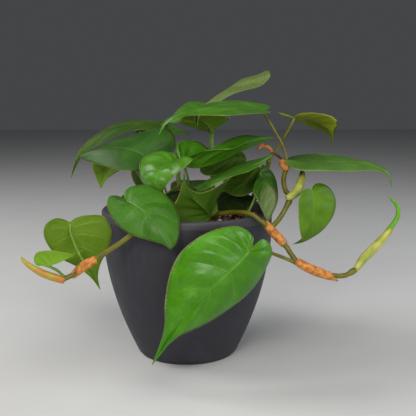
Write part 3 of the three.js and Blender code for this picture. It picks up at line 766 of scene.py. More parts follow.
@dataclass
class Sheath:
    """A thin leaf sheath wrapped round a vine, with an uneven torn edge at its mouth."""

    name: str
    path: Path
    wide: float
    deep: float
    belly: float
    finish: Stemwood = Stemwood.DRY
    turns: float = 0.86
    opening: float = 60.0
    hug: float = 0.5
    tear: float = 0.34
    seed: int = 1
    thickness: float = 0.3
    slot: str = "sheath_dry"
    rows: int = 34
    columns: int = 40

    def roll(self) -> tuple[np.ndarray, np.ndarray]:
        """Rolls the sheet round its path.

        The sheet's half width at the share v of its path is hug + (1 - hug) times the root of
        sin(pi v^k), where k puts the widest place at the belly. It winds for its turns and
        moves out by a tenth over one turn, so that a closed roll overlaps. The mouth is torn
        back by a random share of the path that changes round the sheath.

        Returns:
            The points, (rows x columns, 3), row after row from the root, and their map
            coordinates.
        """
        wind = np.linspace(0, self.turns, self.columns)
        torn = 1 - self.tear * (0.5 + 0.5 * waves(
            np.stack([wind * 9, wind * 0, wind * 0], -1), 2.4, self.seed, 6))
        v = np.linspace(0.02, 1, self.rows)[:, None] * np.clip(torn, 0.3, 1)[None]
        power = math.log(0.5) / math.log(self.belly)
        swell = np.sqrt(np.maximum(np.sin(math.pi * np.clip(v, 0.001, 0.995) ** power), 0))
        girth = (self.hug + (1 - self.hug) * swell) * (1 + 0.1 * wind[None])
        places, along, _, _ = along_path(self.path, v.ravel())
        across = unit(np.cross(np.array([0.0, 1.0, 0.0]), along))
        outward = unit(np.cross(along, across))
        turn = np.broadcast_to(math.radians(self.opening) + 2 * math.pi * wind[None], v.shape)
        bulge = girth * (1 + 0.035 * waves(
            np.stack([v * 14, np.sin(turn) * 2, np.cos(turn) * 2], -1), 3.0, self.seed + 7))
        reach = ((self.wide * bulge * np.cos(turn)).ravel()[:, None] * across
                 + (self.deep * bulge * np.sin(turn)).ravel()[:, None] * outward)
        chart = np.stack(np.broadcast_arrays(wind[None], v), -1).reshape(-1, 2)
        return places + reach, chart

    def build(self) -> bpy.types.Object:
        """Builds the rolled sheet and gives it a thickness.

        Returns:
            The finished object.
        """
        points, chart = self.roll()
        here = np.arange(self.rows - 1)[:, None] * self.columns + np.arange(self.columns - 1)
        faces = np.stack([here, here + 1, here + self.columns + 1, here + self.columns], -1)
        sheet = mesh_object(self.name, points, faces.reshape(-1, 4).tolist(),
                            [self.finish.value.material()], chart)
        solid = sheet.modifiers.new("paper thickness", "SOLIDIFY")
        solid.thickness = self.thickness * MM
        solid.offset = 0
        return settle(sheet, self.slot, self.name)


@dataclass
class RolledLeaf:
    """The newest leaf, still rolled into a narrow spindle with an overlapping edge."""

    name: str = "rolled_leaf"
    path: Path = ((138, -40, 94), (145, -37, 101), (151, -34, 107), (153, -33, 113),
                  (152, -32, 118), (148.5, -31, 122), (145.5, -31, 124.5))
    wide: float = 1.9
    finish: LeafFinish = Leafage.TENDER.value

    def build(self) -> bpy.types.Object:
        """Builds the spindle: its radius steps in by a fifth along a seam that winds once.

        Returns:
            The finished object.
        """
        stations = np.linspace(0, 1, 48)
        swell = self.wide * np.sqrt(np.maximum(np.sin(math.pi * stations**0.75), 0)) + 0.02
        grid, chart = round_tube(self.path, swell, stations, 28)
        centre = grid.mean(1, keepdims=True)
        turn = np.arange(28)[None] / 28
        seam = np.mod(turn + np.concatenate([[0], stations, [1]])[:, None] * 0.9, 1.0)
        grid = centre + (grid - centre) * (0.8 + 0.2 * seam**0.5)[..., None]
        shell = closed_shell(self.name, grid, chart, [self.finish.skin(False)])
        return settle(shell, "leaf", self.name)


# ------------------------------------------------------------------ pot, mix and chips
@dataclass
class Pot:
    """A tapered round pot with a bell-shaped wall, a plain rim band and a rolled lip."""

    name: str = "pot"
    height: float = 112.0
    base_radius: float = 37.8
    rim_radius: float = 64.8
    wall: float = 5.0
    floor: float = 6.0
    band: float = 5.5
    bell: float = 1.88
    heel: float = 1.4
    lip: float = 1.9
    inner_lip: float = 1.2
    segments: int = 192

    def outer(self, z: np.ndarray) -> np.ndarray:
        """Gives the wall's outer radius: it falls from the rim in a bell curve.

        Args:
            z: heights in millimetres.

        Returns:
            The radius at each height.
        """
        full = self.rim_radius - 0.3
        return full - (full - self.base_radius) * np.maximum(0, 1 - z / 100) ** self.bell

    def profile(self) -> np.ndarray:
        """Draws the pot's section from the middle of the underside round to the inner floor.

        Returns:
            The section's points, as radius and height in millimetres.
        """
        top, rim = self.height, self.rim_radius
        heel = np.linspace(-math.pi / 2, 0, 8)
        heel = np.stack([self.base_radius - self.heel + self.heel * np.cos(heel),
                         self.heel + self.heel * np.sin(heel)], -1)
        z = np.linspace(2.0, top - self.band - 1.0, 70)
        bell = np.stack([self.outer(z), z], -1)
        edge = top - self.band
        step = np.array([[rim - 0.25, edge - 0.35], [rim - 0.05, edge + 0.1], [rim, edge + 0.6]])
        lip = np.linspace(0, math.pi / 2, 12)
        lip = np.stack([rim - self.lip + self.lip * np.cos(lip),
                        top - self.lip + self.lip * np.sin(lip)], -1)
        inner_lip = np.linspace(math.pi / 2, math.pi, 8)
        small = self.inner_lip
        inner_lip = np.stack([rim - self.wall + small + small * np.cos(inner_lip),
                              top - small + small * np.sin(inner_lip)], -1)
        deep = np.linspace(96, self.floor + 0.5, 24)
        inside = np.stack([self.outer(deep) - self.wall, deep], -1)
        return np.vstack([[[0, 0]], heel, bell, step, lip, inner_lip, inside, [[0, self.floor]]])

    def build(self) -> bpy.types.Object:
        """Turns the section about the upright axis.

        Returns:
            The finished object.
        """
        section = self.profile()
        turn = np.linspace(0, 2 * math.pi, self.segments, endpoint=False)
        ring = np.stack([np.cos(turn), np.sin(turn)], -1)
        flat = section[:, None, :1] * ring[None]
        tall = np.broadcast_to(section[:, None, 1:], flat.shape[:2] + (1,))
        grid = np.concatenate([flat, tall], -1)
        chart = np.stack(np.broadcast_arrays(turn[None] / (2 * math.pi),
                                             section[:, 1:] / self.height), -1)
        shell = closed_shell(self.name, grid, chart, [PotFinish().material()])
        return settle(shell, "pot", self.name)


@dataclass
class PottingMix:
    """The body of potting mix: a disc with a crumbly, slightly domed top."""

    name: str = "potting_mix"
    top: float = 103.0
    bottom: float = 6.4
    clearance: float = 0.5
    pot: Pot = field(default_factory=Pot)

    def height(self, x: np.ndarray, y: np.ndarray) -> np.ndarray:
        """Gives the height of the surface: a low dome, with lumps of two sizes on it.

        Args:
            x: places across, in millimetres.
            y: places from front to back, in millimetres.

        Returns:
            The height at each place.
        """
        where = np.stack([x, y, np.zeros_like(x)], -1)
        dome = 0.8 * (1 - (x**2 + y**2) / 60**2)
        return self.top + dome + 0.9 * waves(where, 11.0, 21) + 0.35 * waves(where, 3.4, 22, 14)

    def build(self) -> bpy.types.Object:
        """Builds the disc: rings across the top, then down the wall and across the bottom.

        Returns:
            The finished object.
        """
        limit = float(self.pot.outer(np.array(self.top)) - self.pot.wall - self.clearance)
        turn = np.linspace(0, 2 * math.pi, 220, endpoint=False)
        ring = np.stack([np.cos(turn), np.sin(turn)], -1)
        radii = np.linspace(0, limit, 64)
        flat = radii[:, None, None] * ring[None]
        tops = self.height(flat[..., 0], flat[..., 1])
        tops[0] = tops[0, 0]
        low = np.linspace(self.top - 4, self.bottom, 24)
        sides = (self.pot.outer(low) - self.pot.wall - self.clearance)[:, None, None] * ring[None]
        floors = np.broadcast_to(low[:, None], sides.shape[:2])
        end = np.zeros((1, len(turn), 3)) + np.array([0, 0, self.bottom])
        grid = np.concatenate([np.concatenate([flat, tops[..., None]], -1),
                               np.concatenate([sides, floors[..., None]], -1), end])
        finish = EarthFinish("crumbly_coir_potting_mix", "1f1710", "33261b", "5a4430", 1.1)
        shell = closed_shell(self.name, grid, np.zeros(grid.shape[:2] + (2,)),
                             [finish.material()])
        return settle(shell, "mix", self.name)


@dataclass
class Crumbs:
    """Loose pieces of one kind that lie scattered on the mix."""

    name: str
    count: int
    size: tuple[float, float]
    stretch: tuple[float, float, float]
    finish: EarthFinish
    slot: str
    seed: int
    mix: PottingMix = field(default_factory=PottingMix)
    reach: float = 57.5

    def build(self) -> bpy.types.Object:
        """Builds every piece at once: a lumpy twelve-sided ball, sized, turned and laid down.

        Returns:
            The finished object.
        """
        rng = np.random.default_rng(self.seed)
        away = self.reach * np.sqrt(rng.uniform(0, 1, self.count))
        turn = rng.uniform(0, 2 * math.pi, self.count)
        x, y = away * np.cos(turn), away * np.sin(turn)
        size = rng.uniform(*self.size, self.count)
        z = self.mix.height(x, y) + 0.16 * size
        return settle(lumps(self.name, np.stack([x, y, z], -1), size, self.stretch, rng,
                            self.finish), self.slot)


@dataclass
class Chip:
    """One larger chip that lies on the mix."""

    name: str
    place: tuple[float, float]
    size: float
    finish: EarthFinish
    slot: str
    seed: int

    def build(self) -> bpy.types.Object:
        """Builds the chip and lays it on the mix.

        Returns:
            The finished object.
        """
        rng = np.random.default_rng(self.seed)
        centre = np.array([[*self.place, PottingMix.top + 0.45 * self.size + 1.0]])
        made = lumps(self.name, centre, np.array([self.size]), (1.45, 1.0, 0.75), rng,
                     self.finish)
        return settle(made, self.slot, self.name)


def lumps(name: str, centres: np.ndarray, sizes: np.ndarray, stretch: tuple[float, float, float],
          rng: np.random.Generator, finish: EarthFinish) -> bpy.types.Object:
    """Builds many small lumps as one object.

    Each is a once-divided icosahedron whose corners are moved in or out at random by up to a
    quarter, stretched, turned about the upright axis and tipped a little.

    Args:
        name: the object's name.
        centres: the middle of each lump in millimetres.
        sizes: the size across of each in millimetres.
        stretch: length, width and height as shares of the size.
        rng: the source of random numbers.
        finish: the surface.

    Returns:
        The object.
    """
    golden = (1 + 5**0.5) / 2
    ends = np.array([[-1, golden, 0], [1, golden, 0], [-1, -golden, 0], [1, -golden, 0],
                     [0, -1, golden], [0, 1, golden], [0, -1, -golden], [0, 1, -golden],
                     [golden, 0, -1], [golden, 0, 1], [-golden, 0, -1], [-golden, 0, 1]], float)
    sides = np.array([[0, 11, 5], [0, 5, 1], [0, 1, 7], [0, 7, 10], [0, 10, 11], [1, 5, 9],
                      [5, 11, 4], [11, 10, 2], [10, 7, 6], [7, 1, 8], [3, 9, 4], [3, 4, 2],
                      [3, 2, 6], [3, 6, 8], [3, 8, 9], [4, 9, 5], [2, 4, 11], [6, 2, 10],
                      [8, 6, 7], [9, 8, 1]])
    pairs = np.sort(sides[:, [0, 1, 1, 2, 2, 0]].reshape(-1, 2), axis=1)
    edges, slot = np.unique(pairs, axis=0, return_inverse=True)
    middles = 12 + slot.reshape(-1, 3)
    a, b, c = sides.T
    ab, bc, ca = middles.T
    faces = np.concatenate([np.stack(t, -1) for t in
                            ((a, ab, ca), (b, bc, ab), (c, ca, bc), (ab, bc, ca))])
    ball = unit(np.vstack([ends, ends[edges].mean(1)]))
    count = len(centres)
    shape = ball[None] * (1 + rng.uniform(-0.25, 0.12, (count, len(ball), 1)))
    shape = shape * np.array(stretch) * rng.uniform(0.75, 1.25, (count, 1, 3))
    shape = shape * sizes[:, None, None] / 2
    tip = rng.normal(0, 0.3, count)[:, None]
    y, z = shape[..., 1], shape[..., 2]
    y, z = y * np.cos(tip) - z * np.sin(tip), y * np.sin(tip) + z * np.cos(tip)
    spin = rng.uniform(0, 2 * math.pi, count)[:, None]
    x = shape[..., 0]
    x, y = x * np.cos(spin) - y * np.sin(spin), x * np.sin(spin) + y * np.cos(spin)
    points = (np.stack([x, y, z], -1) + centres[:, None]).reshape(-1, 3)
    index = (faces[None] + np.arange(count)[:, None, None] * len(ball)).reshape(-1, 3)
    return mesh_object(name, points, index.tolist(), [finish.material()], smooth=False)


# ------------------------------------------------------------------ studio
@dataclass
class Studio:
    """A pale floor under soft lights, and a camera a little above the pot's rim."""

    camera_place: Point = (0.0, -0.541, 0.202)
    pitch: float = -9.5
    yaw: float = 1.68
    lens: float = 62.05
    room_light: float = 0.1

    def lamp(self, name: str, place: Point, size: float, power: float, colour: str) -> None:
        """Hangs one square softbox and aims it at the middle of the plant.

        Args:
            name: the lamp's name.
            place: where it hangs, in metres.
            size: its width in metres.
            power: its power in watts.
            colour: its light's colour.
        """
        data = bpy.data.lights.new(name, "AREA")
        data.size = size
        data.energy = power
        data.color = linear(colour)[:3]
        lamp = bpy.data.objects.new(name, data)
        lamp.location = place
        aim = np.array([0, 0, 0.11]) - np.array(place)
        flat = math.hypot(aim[0], aim[1])
        lamp.rotation_euler = (math.atan2(flat, -aim[2]), 0, math.atan2(-aim[0], aim[1]))
        bpy.context.scene.collection.objects.link(lamp)

    def build(self) -> None:
        """Lays the floor, hangs the lamps, lights the room and sets up the camera."""
        scene = bpy.context.scene
        bpy.ops.mesh.primitive_plane_add(size=6, location=(0, 0, 0))
        floor = bpy.context.active_object
        floor.name = "studio_floor"
        made, node = blank("pale_painted_floor")
        cloud = node("TexNoise", {"Vector": node("TexCoord", take="Object"),
                                  "Scale": PER_MM / 60, "Detail": 2.0})
        tone = node("Mix", {SHARE: cloud, FIRST: linear("c3c4c6"), SECOND: linear("cbcccd")},
                    MIXED, **COLOUR)
        skin = node("BsdfPrincipled", {"Base Color": tone, "Roughness": 0.85})
        node("OutputMaterial", (skin,))
        floor.data.materials.append(made)
        self.lamp("key_softbox", (-0.28, -0.95, 0.6), 0.34, 5.6, "fffaf2")
        self.lamp("sky_softbox", (-0.8, 0.1, 0.95), 0.5, 7.0, "fffdf8")
        self.lamp("top_softbox", (0.35, -0.35, 1.2), 0.8, 5.0, "fffdf8")
        self.lamp("low_softbox", (0.4, -1.0, 0.28), 0.5, 4.6, "fffaf2")
        self.lamp("right_edge_strip", (0.95, 0.15, 0.4), 0.3, 2.2, "f2f6ff")
        self.lamp("left_edge_strip", (-1.0, 0.25, 0.35), 0.3, 1.2, "f2f6ff")
        world = bpy.data.worlds.new("studio_room")
        world.use_nodes = True
        room = world.node_tree.nodes["Background"]
        room.inputs["Color"].default_value = linear("c8ccd2")
        room.inputs["Strength"].default_value = self.room_light
        scene.world = world
        data = bpy.data.cameras.new("front_camera")
        data.lens = self.lens
        data.sensor_width = 36
        data.clip_start = 0.01
        camera = bpy.data.objects.new("front_camera", data)
        camera.location = self.camera_place
        camera.rotation_euler = (math.radians(90 + self.pitch), 0, math.radians(-self.yaw))
        scene.collection.objects.link(camera)
        scene.camera = camera
        scene.view_settings.view_transform = "Standard"


# ------------------------------------------------------------------ the plant
LEAVES = (
    Leaf(
        "front_leaf",
        rib=((42, -88, 100.5), (22, -93, 81), (0, -91, 57.5), (-24.5, -82, 17.5)),
        left=((42.5, -85, 107), (32.5, -84, 113.5), (13.5, -84, 109.5), (-3, -84, 98),
              (-11.5, -84, 82.5), (-15, -85, 63), (-16, -86, 43.5)),
        right=((50, -80, 104), (56, -73, 97.5), (56, -69, 87), (42.5, -71, 65.5), (17, -78, 48),
               (-7, -84, 38), (-17.5, -84, 28)),
        stalk=((77, -62, 82), (68, -64, 86.5), (58, -67, 91), (49, -78, 96.5)),
        kind=Leafage.BRIGHT, puff=3, stalk_finish=Stemwood.OLIVE, stalk_radius=1.4,
    ),
    Leaf(
        "left_front_leaf",
        rib=((-42, -54, 125.5), (-31, -66, 121.5), (-19.5, -76, 112.5), (-11, -80, 97)),
        left=((-46.5, -57, 129), (-53, -58, 129.5), (-54, -62, 123.5), (-49, -67, 114),
              (-38.5, -73, 106.5), (-26, -77, 103), (-16.5, -79, 100.5)),
        right=((-43.5, -49, 130.5), (-39, -43, 134), (-27.5, -42, 135), (-13.5, -50, 128.5),
               (-6, -61, 118.5), (-5, -71, 108.5), (-7, -77, 101)),
        stalk=((-16, -44, 116), (-24, -47, 120), (-36, -50, 124)),
        kind=Leafage.FOREST, puff=3, stalk_finish=Stemwood.OLIVE,
    ),
    Leaf(
        "left_back_leaf",
        rib=((-83.5, -38, 107.5), (-80, -42, 96.5), (-74, -39, 80.5), (-63.5, -33, 56.5)),
        left=((-79, -37, 111), (-70.5, -37, 113), (-59, -38, 112), (-53.5, -41, 102),
              (-56, -40, 89.5), (-62, -37, 78.5), (-65, -34, 67.5)),
        right=((-87, -40, 110.5), (-93.5, -42, 111.5), (-100, -44, 106.5), (-100, -44, 96.5),
               (-92.5, -41, 84), (-79.5, -38, 75.5), (-70, -35, 66.5)),
        stalk=((-70, -56, 81), (-75, -54, 89), (-81, -47, 100)),
        kind=Leafage.GLOWING, slot="leaf_under",
    ),
    Leaf(
        "left_new_leaf",
        rib=((-97.5, -61, 82.5), (-89, -62, 84.5), (-80, -62, 88.5), (-70.5, -61, 93.5)),
        left=((-102, -64, 83), (-104, -65, 87.5), (-101, -67, 93), (-92.5, -68, 94.5),
              (-83.5, -66, 92.5), (-76.5, -64, 91)),
        right=((-102, -58, 82.5), (-105, -54, 87.5), (-99.5, -52, 90), (-91, -53, 90),
               (-82.5, -56, 89.5), (-76.5, -59, 90)),
        stalk=((-84, -59, 73), (-90, -59, 78.5)),
        kind=Leafage.TENDER, puff=2,
    ),
    Leaf(
        "back_left_arch_leaf",
        rib=((-19, 54, 171.5), (-45, 60, 172), (-75.5, 63, 159), (-98, 62, 126.5)),
        left=((-16, 72, 174), (-30, 82, 174.5), (-45, 85, 174.5), (-60, 82, 172),
              (-76.5, 72, 163.5), (-87.5, 66, 153.5), (-94, 62, 142)),
        right=((-19.5, 50, 169.5), (-29, 40, 168.5), (-42.5, 38, 168.5), (-55.5, 42, 164),
               (-70, 48, 157.5), (-82.5, 55, 150.5), (-91, 60, 140.5)),
        stalk=((-4, 24, 98), (-6, 34, 130), (-10, 46, 158)),
        kind=Leafage.MOSS,
    ),
    Leaf(
        "back_left_far_leaf",
        rib=((-39.5, 66, 170.5), (-24.5, 70, 172), (-9, 68, 168), (4, 64, 162)),
        left=((-41, 56, 168), (-30, 50, 165), (-17, 52, 163), (-7.5, 58, 164.5)),
        right=((-39.5, 80, 173.5), (-25, 86, 174), (-11, 80, 170.5), (-2.5, 70, 166)),
        stalk=((-16, 30, 98), (-34, 39, 124), (-47, 54, 146), (-43, 63, 162)),
        kind=Leafage.MATURE,
    ),
    Leaf(
        "left_wide_leaf",
        rib=((-29.5, 0, 148.5), (-45.5, 6, 156), (-65.5, 12, 156), (-84, 18, 150)),
        left=((-19, 4, 146.5), (-10, 14, 154), (-9.5, 24, 164), (-17.5, 32, 171),
              (-32.5, 34, 168.5), (-50, 30, 163.5), (-68, 24, 157)),
        right=((-30, -10, 142), (-37, -15, 142.5), (-45, -16, 142), (-57.5, -8, 143.5),
               (-70, 4, 145.5), (-78.5, 12, 147)),
        stalk=((-14, 4, 98), (-20, 6, 126), (-27, 3, 143)),
        kind=Leafage.DEEP, puff=2,
    ),
    Leaf(
        "left_hanging_leaf",
        rib=((-56, 40, 150), (-61, 44, 145), (-67, 44, 134), (-70, 40, 121)),
        left=((-47, 36, 149), (-47, 34, 142), (-64, 38, 130)),
        right=((-66, 42, 151), (-77, 44, 143), (-75, 44, 131)),
        stalk=((-20, 22, 98), (-34, 32, 128), (-50, 38, 145)),
        kind=Leafage.GLOWING, slot="leaf_under",
    ),
    Leaf(
        "curled_leaf",
        rib=((-6, -20, 149), (-17, -36, 146.5), (-22.5, -43, 138.5), (-21.5, -38, 126.5)),
        left=((-9.5, -10, 152.5), (-16.5, -6, 155), (-26, -8, 154.5), (-33.5, -16, 151),
              (-34.5, -26, 145), (-33, -32, 138.5), (-28.5, -36, 132)),
        right=((-0.5, -30, 150.5), (4, -40, 153), (0, -46, 149), (-7.5, -48, 143.5),
               (-13.5, -46, 136.5), (-17.5, -42, 130.5)),
        stalk=((-7, -19, 130), (-7, -18, 140), (-7, -18, 146)),
        kind=Leafage.FRESH, puff=4,
    ),
    Leaf(
        "top_light_leaf",
        rib=((60, 60, 208.5), (41, 50, 202.5), (16, 27, 189.5), (7.5, 4, 172)),
        left=((66.5, 68, 211.5), (70.5, 74, 214.5), (68.5, 80, 217), (59.5, 82, 213),
              (46.5, 78, 209.5), (35.5, 66, 202.5), (22, 46, 194.5), (6.5, 12, 183)),
        right=((63.5, 56, 211.5), (67.5, 52, 213.5), (67, 48, 210), (59, 42, 203.5),
               (45.5, 36, 200), (35, 32, 196.5), (24.5, 25, 190.5), (11, 10, 182.5)),
        stalk=((21, 46, 98), (20.5, 51, 140), (20.3, 55, 165), (26, 58, 192), (42, 60, 201)),
        # This leaf's pale colours are a painted sheen.
        kind=Leafage.PAINTED_SHEEN, slot="leaf_pale",
    ),
    Leaf(
        "top_leaf",
        rib=((58, -4, 185.5), (30, -13, 188), (-1.5, -17, 185.5), (-21, -19, 167)),
        left=((62.5, 2, 187.5), (61, 14, 189.5), (49.5, 25, 191.5), (32.5, 28, 192.5),
              (15, 20, 190), (2.5, 6, 186), (-9.5, -8, 182.5), (-17, -15, 177.5)),
        right=((62, -10, 184.5), (58, -20, 184), (44.5, -34, 184), (28.5, -38, 183),
               (13.5, -34, 183), (1, -28, 182.5), (-8.5, -23, 179.5), (-14.5, -20, 176.5)),
        stalk=((73, -20, 148), (71, -16, 159), (65, -10, 171), (59, -5, 181)),
        kind=Leafage.SATIN, puff=1, stalk_finish=Stemwood.OLIVE,
    ),
    Leaf(
        "top_left_leaf",
        rib=((20.5, 42, 183), (7.5, 42, 184.5), (-3, 40, 182), (-14, 34, 175)),
        left=((20, 54, 188.5), (11, 58, 191), (1, 56, 190.5), (-8, 48, 184), (-12.5, 38, 178.5)),
        right=((18, 38, 179), (7.5, 36, 177), (-2.5, 34, 175.5), (-9.5, 32, 174.5)),
        stalk=((20.5, 39, 98), (20, 43, 140), (19.5, 44, 165), (19, 44, 176)),
        kind=Leafage.SATIN,
    ),
    Leaf(
        "top_under_leaf",
        rib=((19.5, 32, 166.5), (16, 25, 174), (10, 20, 178.5), (3, 16, 181.5)),
        left=((13, 36, 169), (2.5, 36, 171), (-5, 30, 175), (-4, 24, 179.5), (-0.5, 19, 181)),
        right=((24, 36, 170), (29.5, 34, 174.5), (34.5, 30, 178.5), (26, 24, 181), (14, 18, 182)),
        stalk=((21, 16, 98), (20, 26, 135), (19.5, 31, 160)),
        kind=Leafage.GLOWING, slot="leaf_under", stalk_radius=2,
    ),
    Leaf(
        "centre_fold_leaf",
        rib=((-5, -16, 149), (12.5, -22, 146), (37, -21, 155.5), (65, -16, 166)),
        left=((-2, -24, 152), (4.5, -32, 155), (12.5, -38, 158.5), (24.5, -40, 160),
              (33, -38, 160.5), (43.5, -32, 164.5), (54, -24, 166)),
        right=((-8, -6, 155), (-7, 4, 161), (0, 12, 162.5), (9.5, 12, 161), (17.5, 4, 156.5),
               (26, 8, 160.5), (40, 8, 166), (53, -4, 166.5)),
        stalk=((0, -8, 98), (1, -14, 132), (-2, -16, 145)),
        kind=Leafage.MEADOW,
    ),
    Leaf(
        "centre_shade_leaf",
        rib=((46, 14, 147), (34.5, 8, 149), (22, 4, 146.5), (10, 4, 142.5)),
        left=((42.5, 2, 142), (34, -2, 139.5), (23.5, -3, 137), (14.5, 0, 136.5), (10, 3, 139)),
        right=((45, 26, 151), (37.5, 30, 155), (22.5, 20, 152), (12.5, 10, 147.5)),
        stalk=((36, 14, 98), (42, 16, 124), (46, 15, 142)),
        kind=Leafage.MOSS, slot="leaf_under",
    ),
    Leaf(
        "swoosh_leaf",
        rib=((6.5, -30, 130.5), (25, -36, 139.5), (44.5, -37, 147.5), (63, -28, 156)),
        left=((9, -42, 130), (19, -50, 136), (31, -52, 142), (43.5, -46, 145), (54.5, -36, 150)),
        right=((3.5, -22, 131.5), (13, -16, 134), (27.5, -12, 141), (42.5, -15, 148),
               (54.5, -22, 152)),
        stalk=((4, -14, 98), (6, -20, 116), (6.5, -27, 126)),
        kind=Leafage.SATIN,
    ),
    Leaf(
        "cupped_leaf",
        rib=((16.5, -32, 110), (10.5, -44, 119.5), (2.5, -50, 128.5), (-2, -50, 145.5)),
        left=((12.5, -40, 106), (2, -45, 106), (-8, -47, 110), (-11, -47, 118), (-7, -48, 126),
              (-4.5, -50, 132.5), (-3, -50.5, 140)),
        right=((22, -31, 114.5), (21, -30, 123.5), (25, -32, 132), (31, -38, 139.5),
               (18.5, -46, 133), (8, -50, 130.5), (1.5, -51, 134), (-1, -51, 139)),
        stalk=((13, -22, 98), (15, -27, 105)),
        kind=Leafage.MOSS, slot="leaf_under", puff=2,
    ),
    Leaf(
        "inner_shade_leaf",
        rib=((53.5, -11, 144), (46.5, -14, 137.5), (39, -16, 131), (26.5, -12, 126.5)),
        left=((55, -12, 141), (53.5, -16, 134), (49, -20, 127.5), (42.5, -21, 124),
              (36, -20, 123.5), (30.5, -16, 125)),
        right=((47, -6, 146), (38.5, -2, 142.5), (31, -4, 136.5), (26, -8, 130)),
        stalk=((38, 6, 98), (50, 9, 118), (55, 0, 137)),
        kind=Leafage.MOSS, slot="leaf_under",
    ),
    Leaf(
        "right_fold_leaf",
        rib=((53, -16, 141), (59.5, -26, 133), (63, -36, 124.5), (57, -42, 108)),
        left=((49, -28, 135), (46.5, -38, 130), (49, -43, 125), (52, -45, 118), (54.5, -44, 112)),
        right=((56.5, -8, 145.5), (63, -6, 141), (66.5, -9, 134.5), (67, -18, 127.5),
               (65.5, -30, 121.5), (62, -37, 115)),
        stalk=((37, -25, 98), (44, -28, 112), (51, -25, 127), (54, -20, 136)),
        kind=Leafage.ASHEN, slot="leaf_pale",
    ),
    Leaf(
        "low_shade_leaf",
        rib=((18.5, -8, 119.5), (29, -10, 118.5), (41.5, -8, 119), (54, -4, 119)),
        left=((18.5, -18, 116), (28.5, -22, 111.5), (44, -14, 113)),
        right=((20.5, 4, 121.5), (31.5, 8, 123.5), (45, 2, 122)),
        stalk=((10, -4, 98), (13, -5, 108), (17, -7, 117)),
        kind=Leafage.SHADED,
    ),
    Leaf(
        "top_right_leaf",
        rib=((81, 4, 180), (94, 9, 178.5), (107, 8, 174.5), (109.5, -2, 157.5)),
        left=((83.5, -4, 183), (90.5, -12, 184), (98.5, -16, 183.5), (107, -16, 181),
              (111, -13, 176), (109.5, -9, 169), (109.5, -5, 163.5)),
        right=((77, 8, 182), (70, 12, 183.5), (75.5, 14, 180), (85.5, 18, 176.5), (98, 22, 171),
               (106.5, 19, 168), (110, 8, 163.5)),
        stalk=((63, 7, 148), (70, 9, 156), (76, 6, 168), (80, 4, 176)),
        kind=Leafage.OLIVE, slot="leaf_under", puff=-1, stalk_finish=Stemwood.OLIVE,
    ),
    Leaf(
        "right_long_leaf",
        rib=((86.5, -10, 145), (114, -5, 146.5), (143, -1, 143), (158.5, 4, 125.5)),
        left=((79.5, -18, 148), (71.5, -26, 150.5), (72, -32, 147.5), (80, -38, 144.5),
              (98.5, -38, 144), (119, -30, 142.5), (137, -16, 141.5), (151, -4, 137)),
        right=((82, 0, 145.5), (77, 12, 146), (81.5, 24, 148), (97.5, 34, 149.5), (115.5, 34, 149),
               (131.5, 26, 146.5), (146.5, 12, 143.5), (155, 4, 138.5)),
        stalk=((77, -31, 128), (81, -25, 134), (85, -14, 141)),
        kind=Leafage.SAGE, puff=2,
    ),
    Leaf(
        "right_heart_leaf",
        rib=((89.5, -36, 129.5), (89.5, -41, 118), (86.5, -42, 103), (75.5, -35, 90)),
        left=((87, -39, 131.5), (81.5, -43, 131), (78, -48, 125.5), (77.5, -51, 114.5),
              (79, -49, 103), (81, -43, 95)),
        right=((90.5, -32, 132), (95, -28, 134), (103, -25, 131), (108.5, -25, 122),
               (107, -28, 111), (98.5, -33, 100.5), (85.5, -37, 93)),
        stalk=((75, -35, 125), (80, -37, 128), (85, -37, 130)),
        kind=Leafage.LIME, puff=2,
    ),
    Leaf(
        "low_left_leaf",
        rib=((-2.5, -33, 125.5), (-7, -36, 127.5), (-12, -38, 126.5), (-17, -40, 122)),
        left=((-4.5, -28, 128.5), (-9.5, -28, 128.5), (-14.5, -33, 126.5)),
        right=((-3, -40, 122.5), (-8.5, -44, 120.5), (-14, -43, 120)),
        stalk=((4, -22, 98), (2, -27, 110), (-2, -32, 120)),
        kind=Leafage.SHADED,
    ),
    Leaf(
        "back_left_leaf",
        rib=((-24, 50, 138), (-28, 66, 137), (-33, 82, 126), (-36, 92, 106)),
        left=((-12, 48, 140), (-6, 62, 137), (-16, 80, 122), (-30, 90, 112)),
        right=((-34, 48, 140), (-46, 58, 136), (-47, 74, 124), (-41, 88, 112)),
        stalk=((-10, 36, 98), (-18, 44, 120), (-23, 48, 134)),
        kind=Leafage.MATURE,
    ),
    Leaf(
        "back_middle_leaf",
        rib=((4, 58, 124), (5, 74, 122), (4, 88, 110), (1, 96, 90)),
        left=((15, 55, 126), (24, 66, 122), (21, 82, 108), (8, 94, 96)),
        right=((-6, 56, 126), (-14, 66, 121), (-12, 82, 107), (-4, 94, 96)),
        stalk=((4, 42, 98), (4, 50, 112), (4, 56, 120)),
        kind=Leafage.MATURE,
    ),
    Leaf(
        "back_right_leaf",
        rib=((34, 48, 140), (44, 60, 140), (55, 74, 130), (62, 82, 112)),
        left=((44, 40, 142), (58, 46, 139), (66, 60, 128), (66, 76, 116)),
        right=((26, 54, 143), (30, 70, 140), (42, 82, 128), (56, 86, 116)),
        stalk=((24, 38, 98), (29, 42, 120), (33, 46, 136)),
        kind=Leafage.BRIGHT,
    ),
    Leaf(
        "back_low_leaf",
        rib=((-30, 50, 120), (-40, 60, 118), (-50, 70, 106), (-56, 76, 88)),
        left=((-21, 58, 122), (-24, 72, 117), (-36, 80, 104), (-50, 80, 92)),
        right=((-40, 42, 122), (-52, 46, 116), (-60, 58, 104), (-60, 70, 92)),
        stalk=((-24, 32, 98), (-26, 40, 110), (-29, 47, 117)),
        kind=Leafage.DEEP, slot="leaf_under",
    ),
)

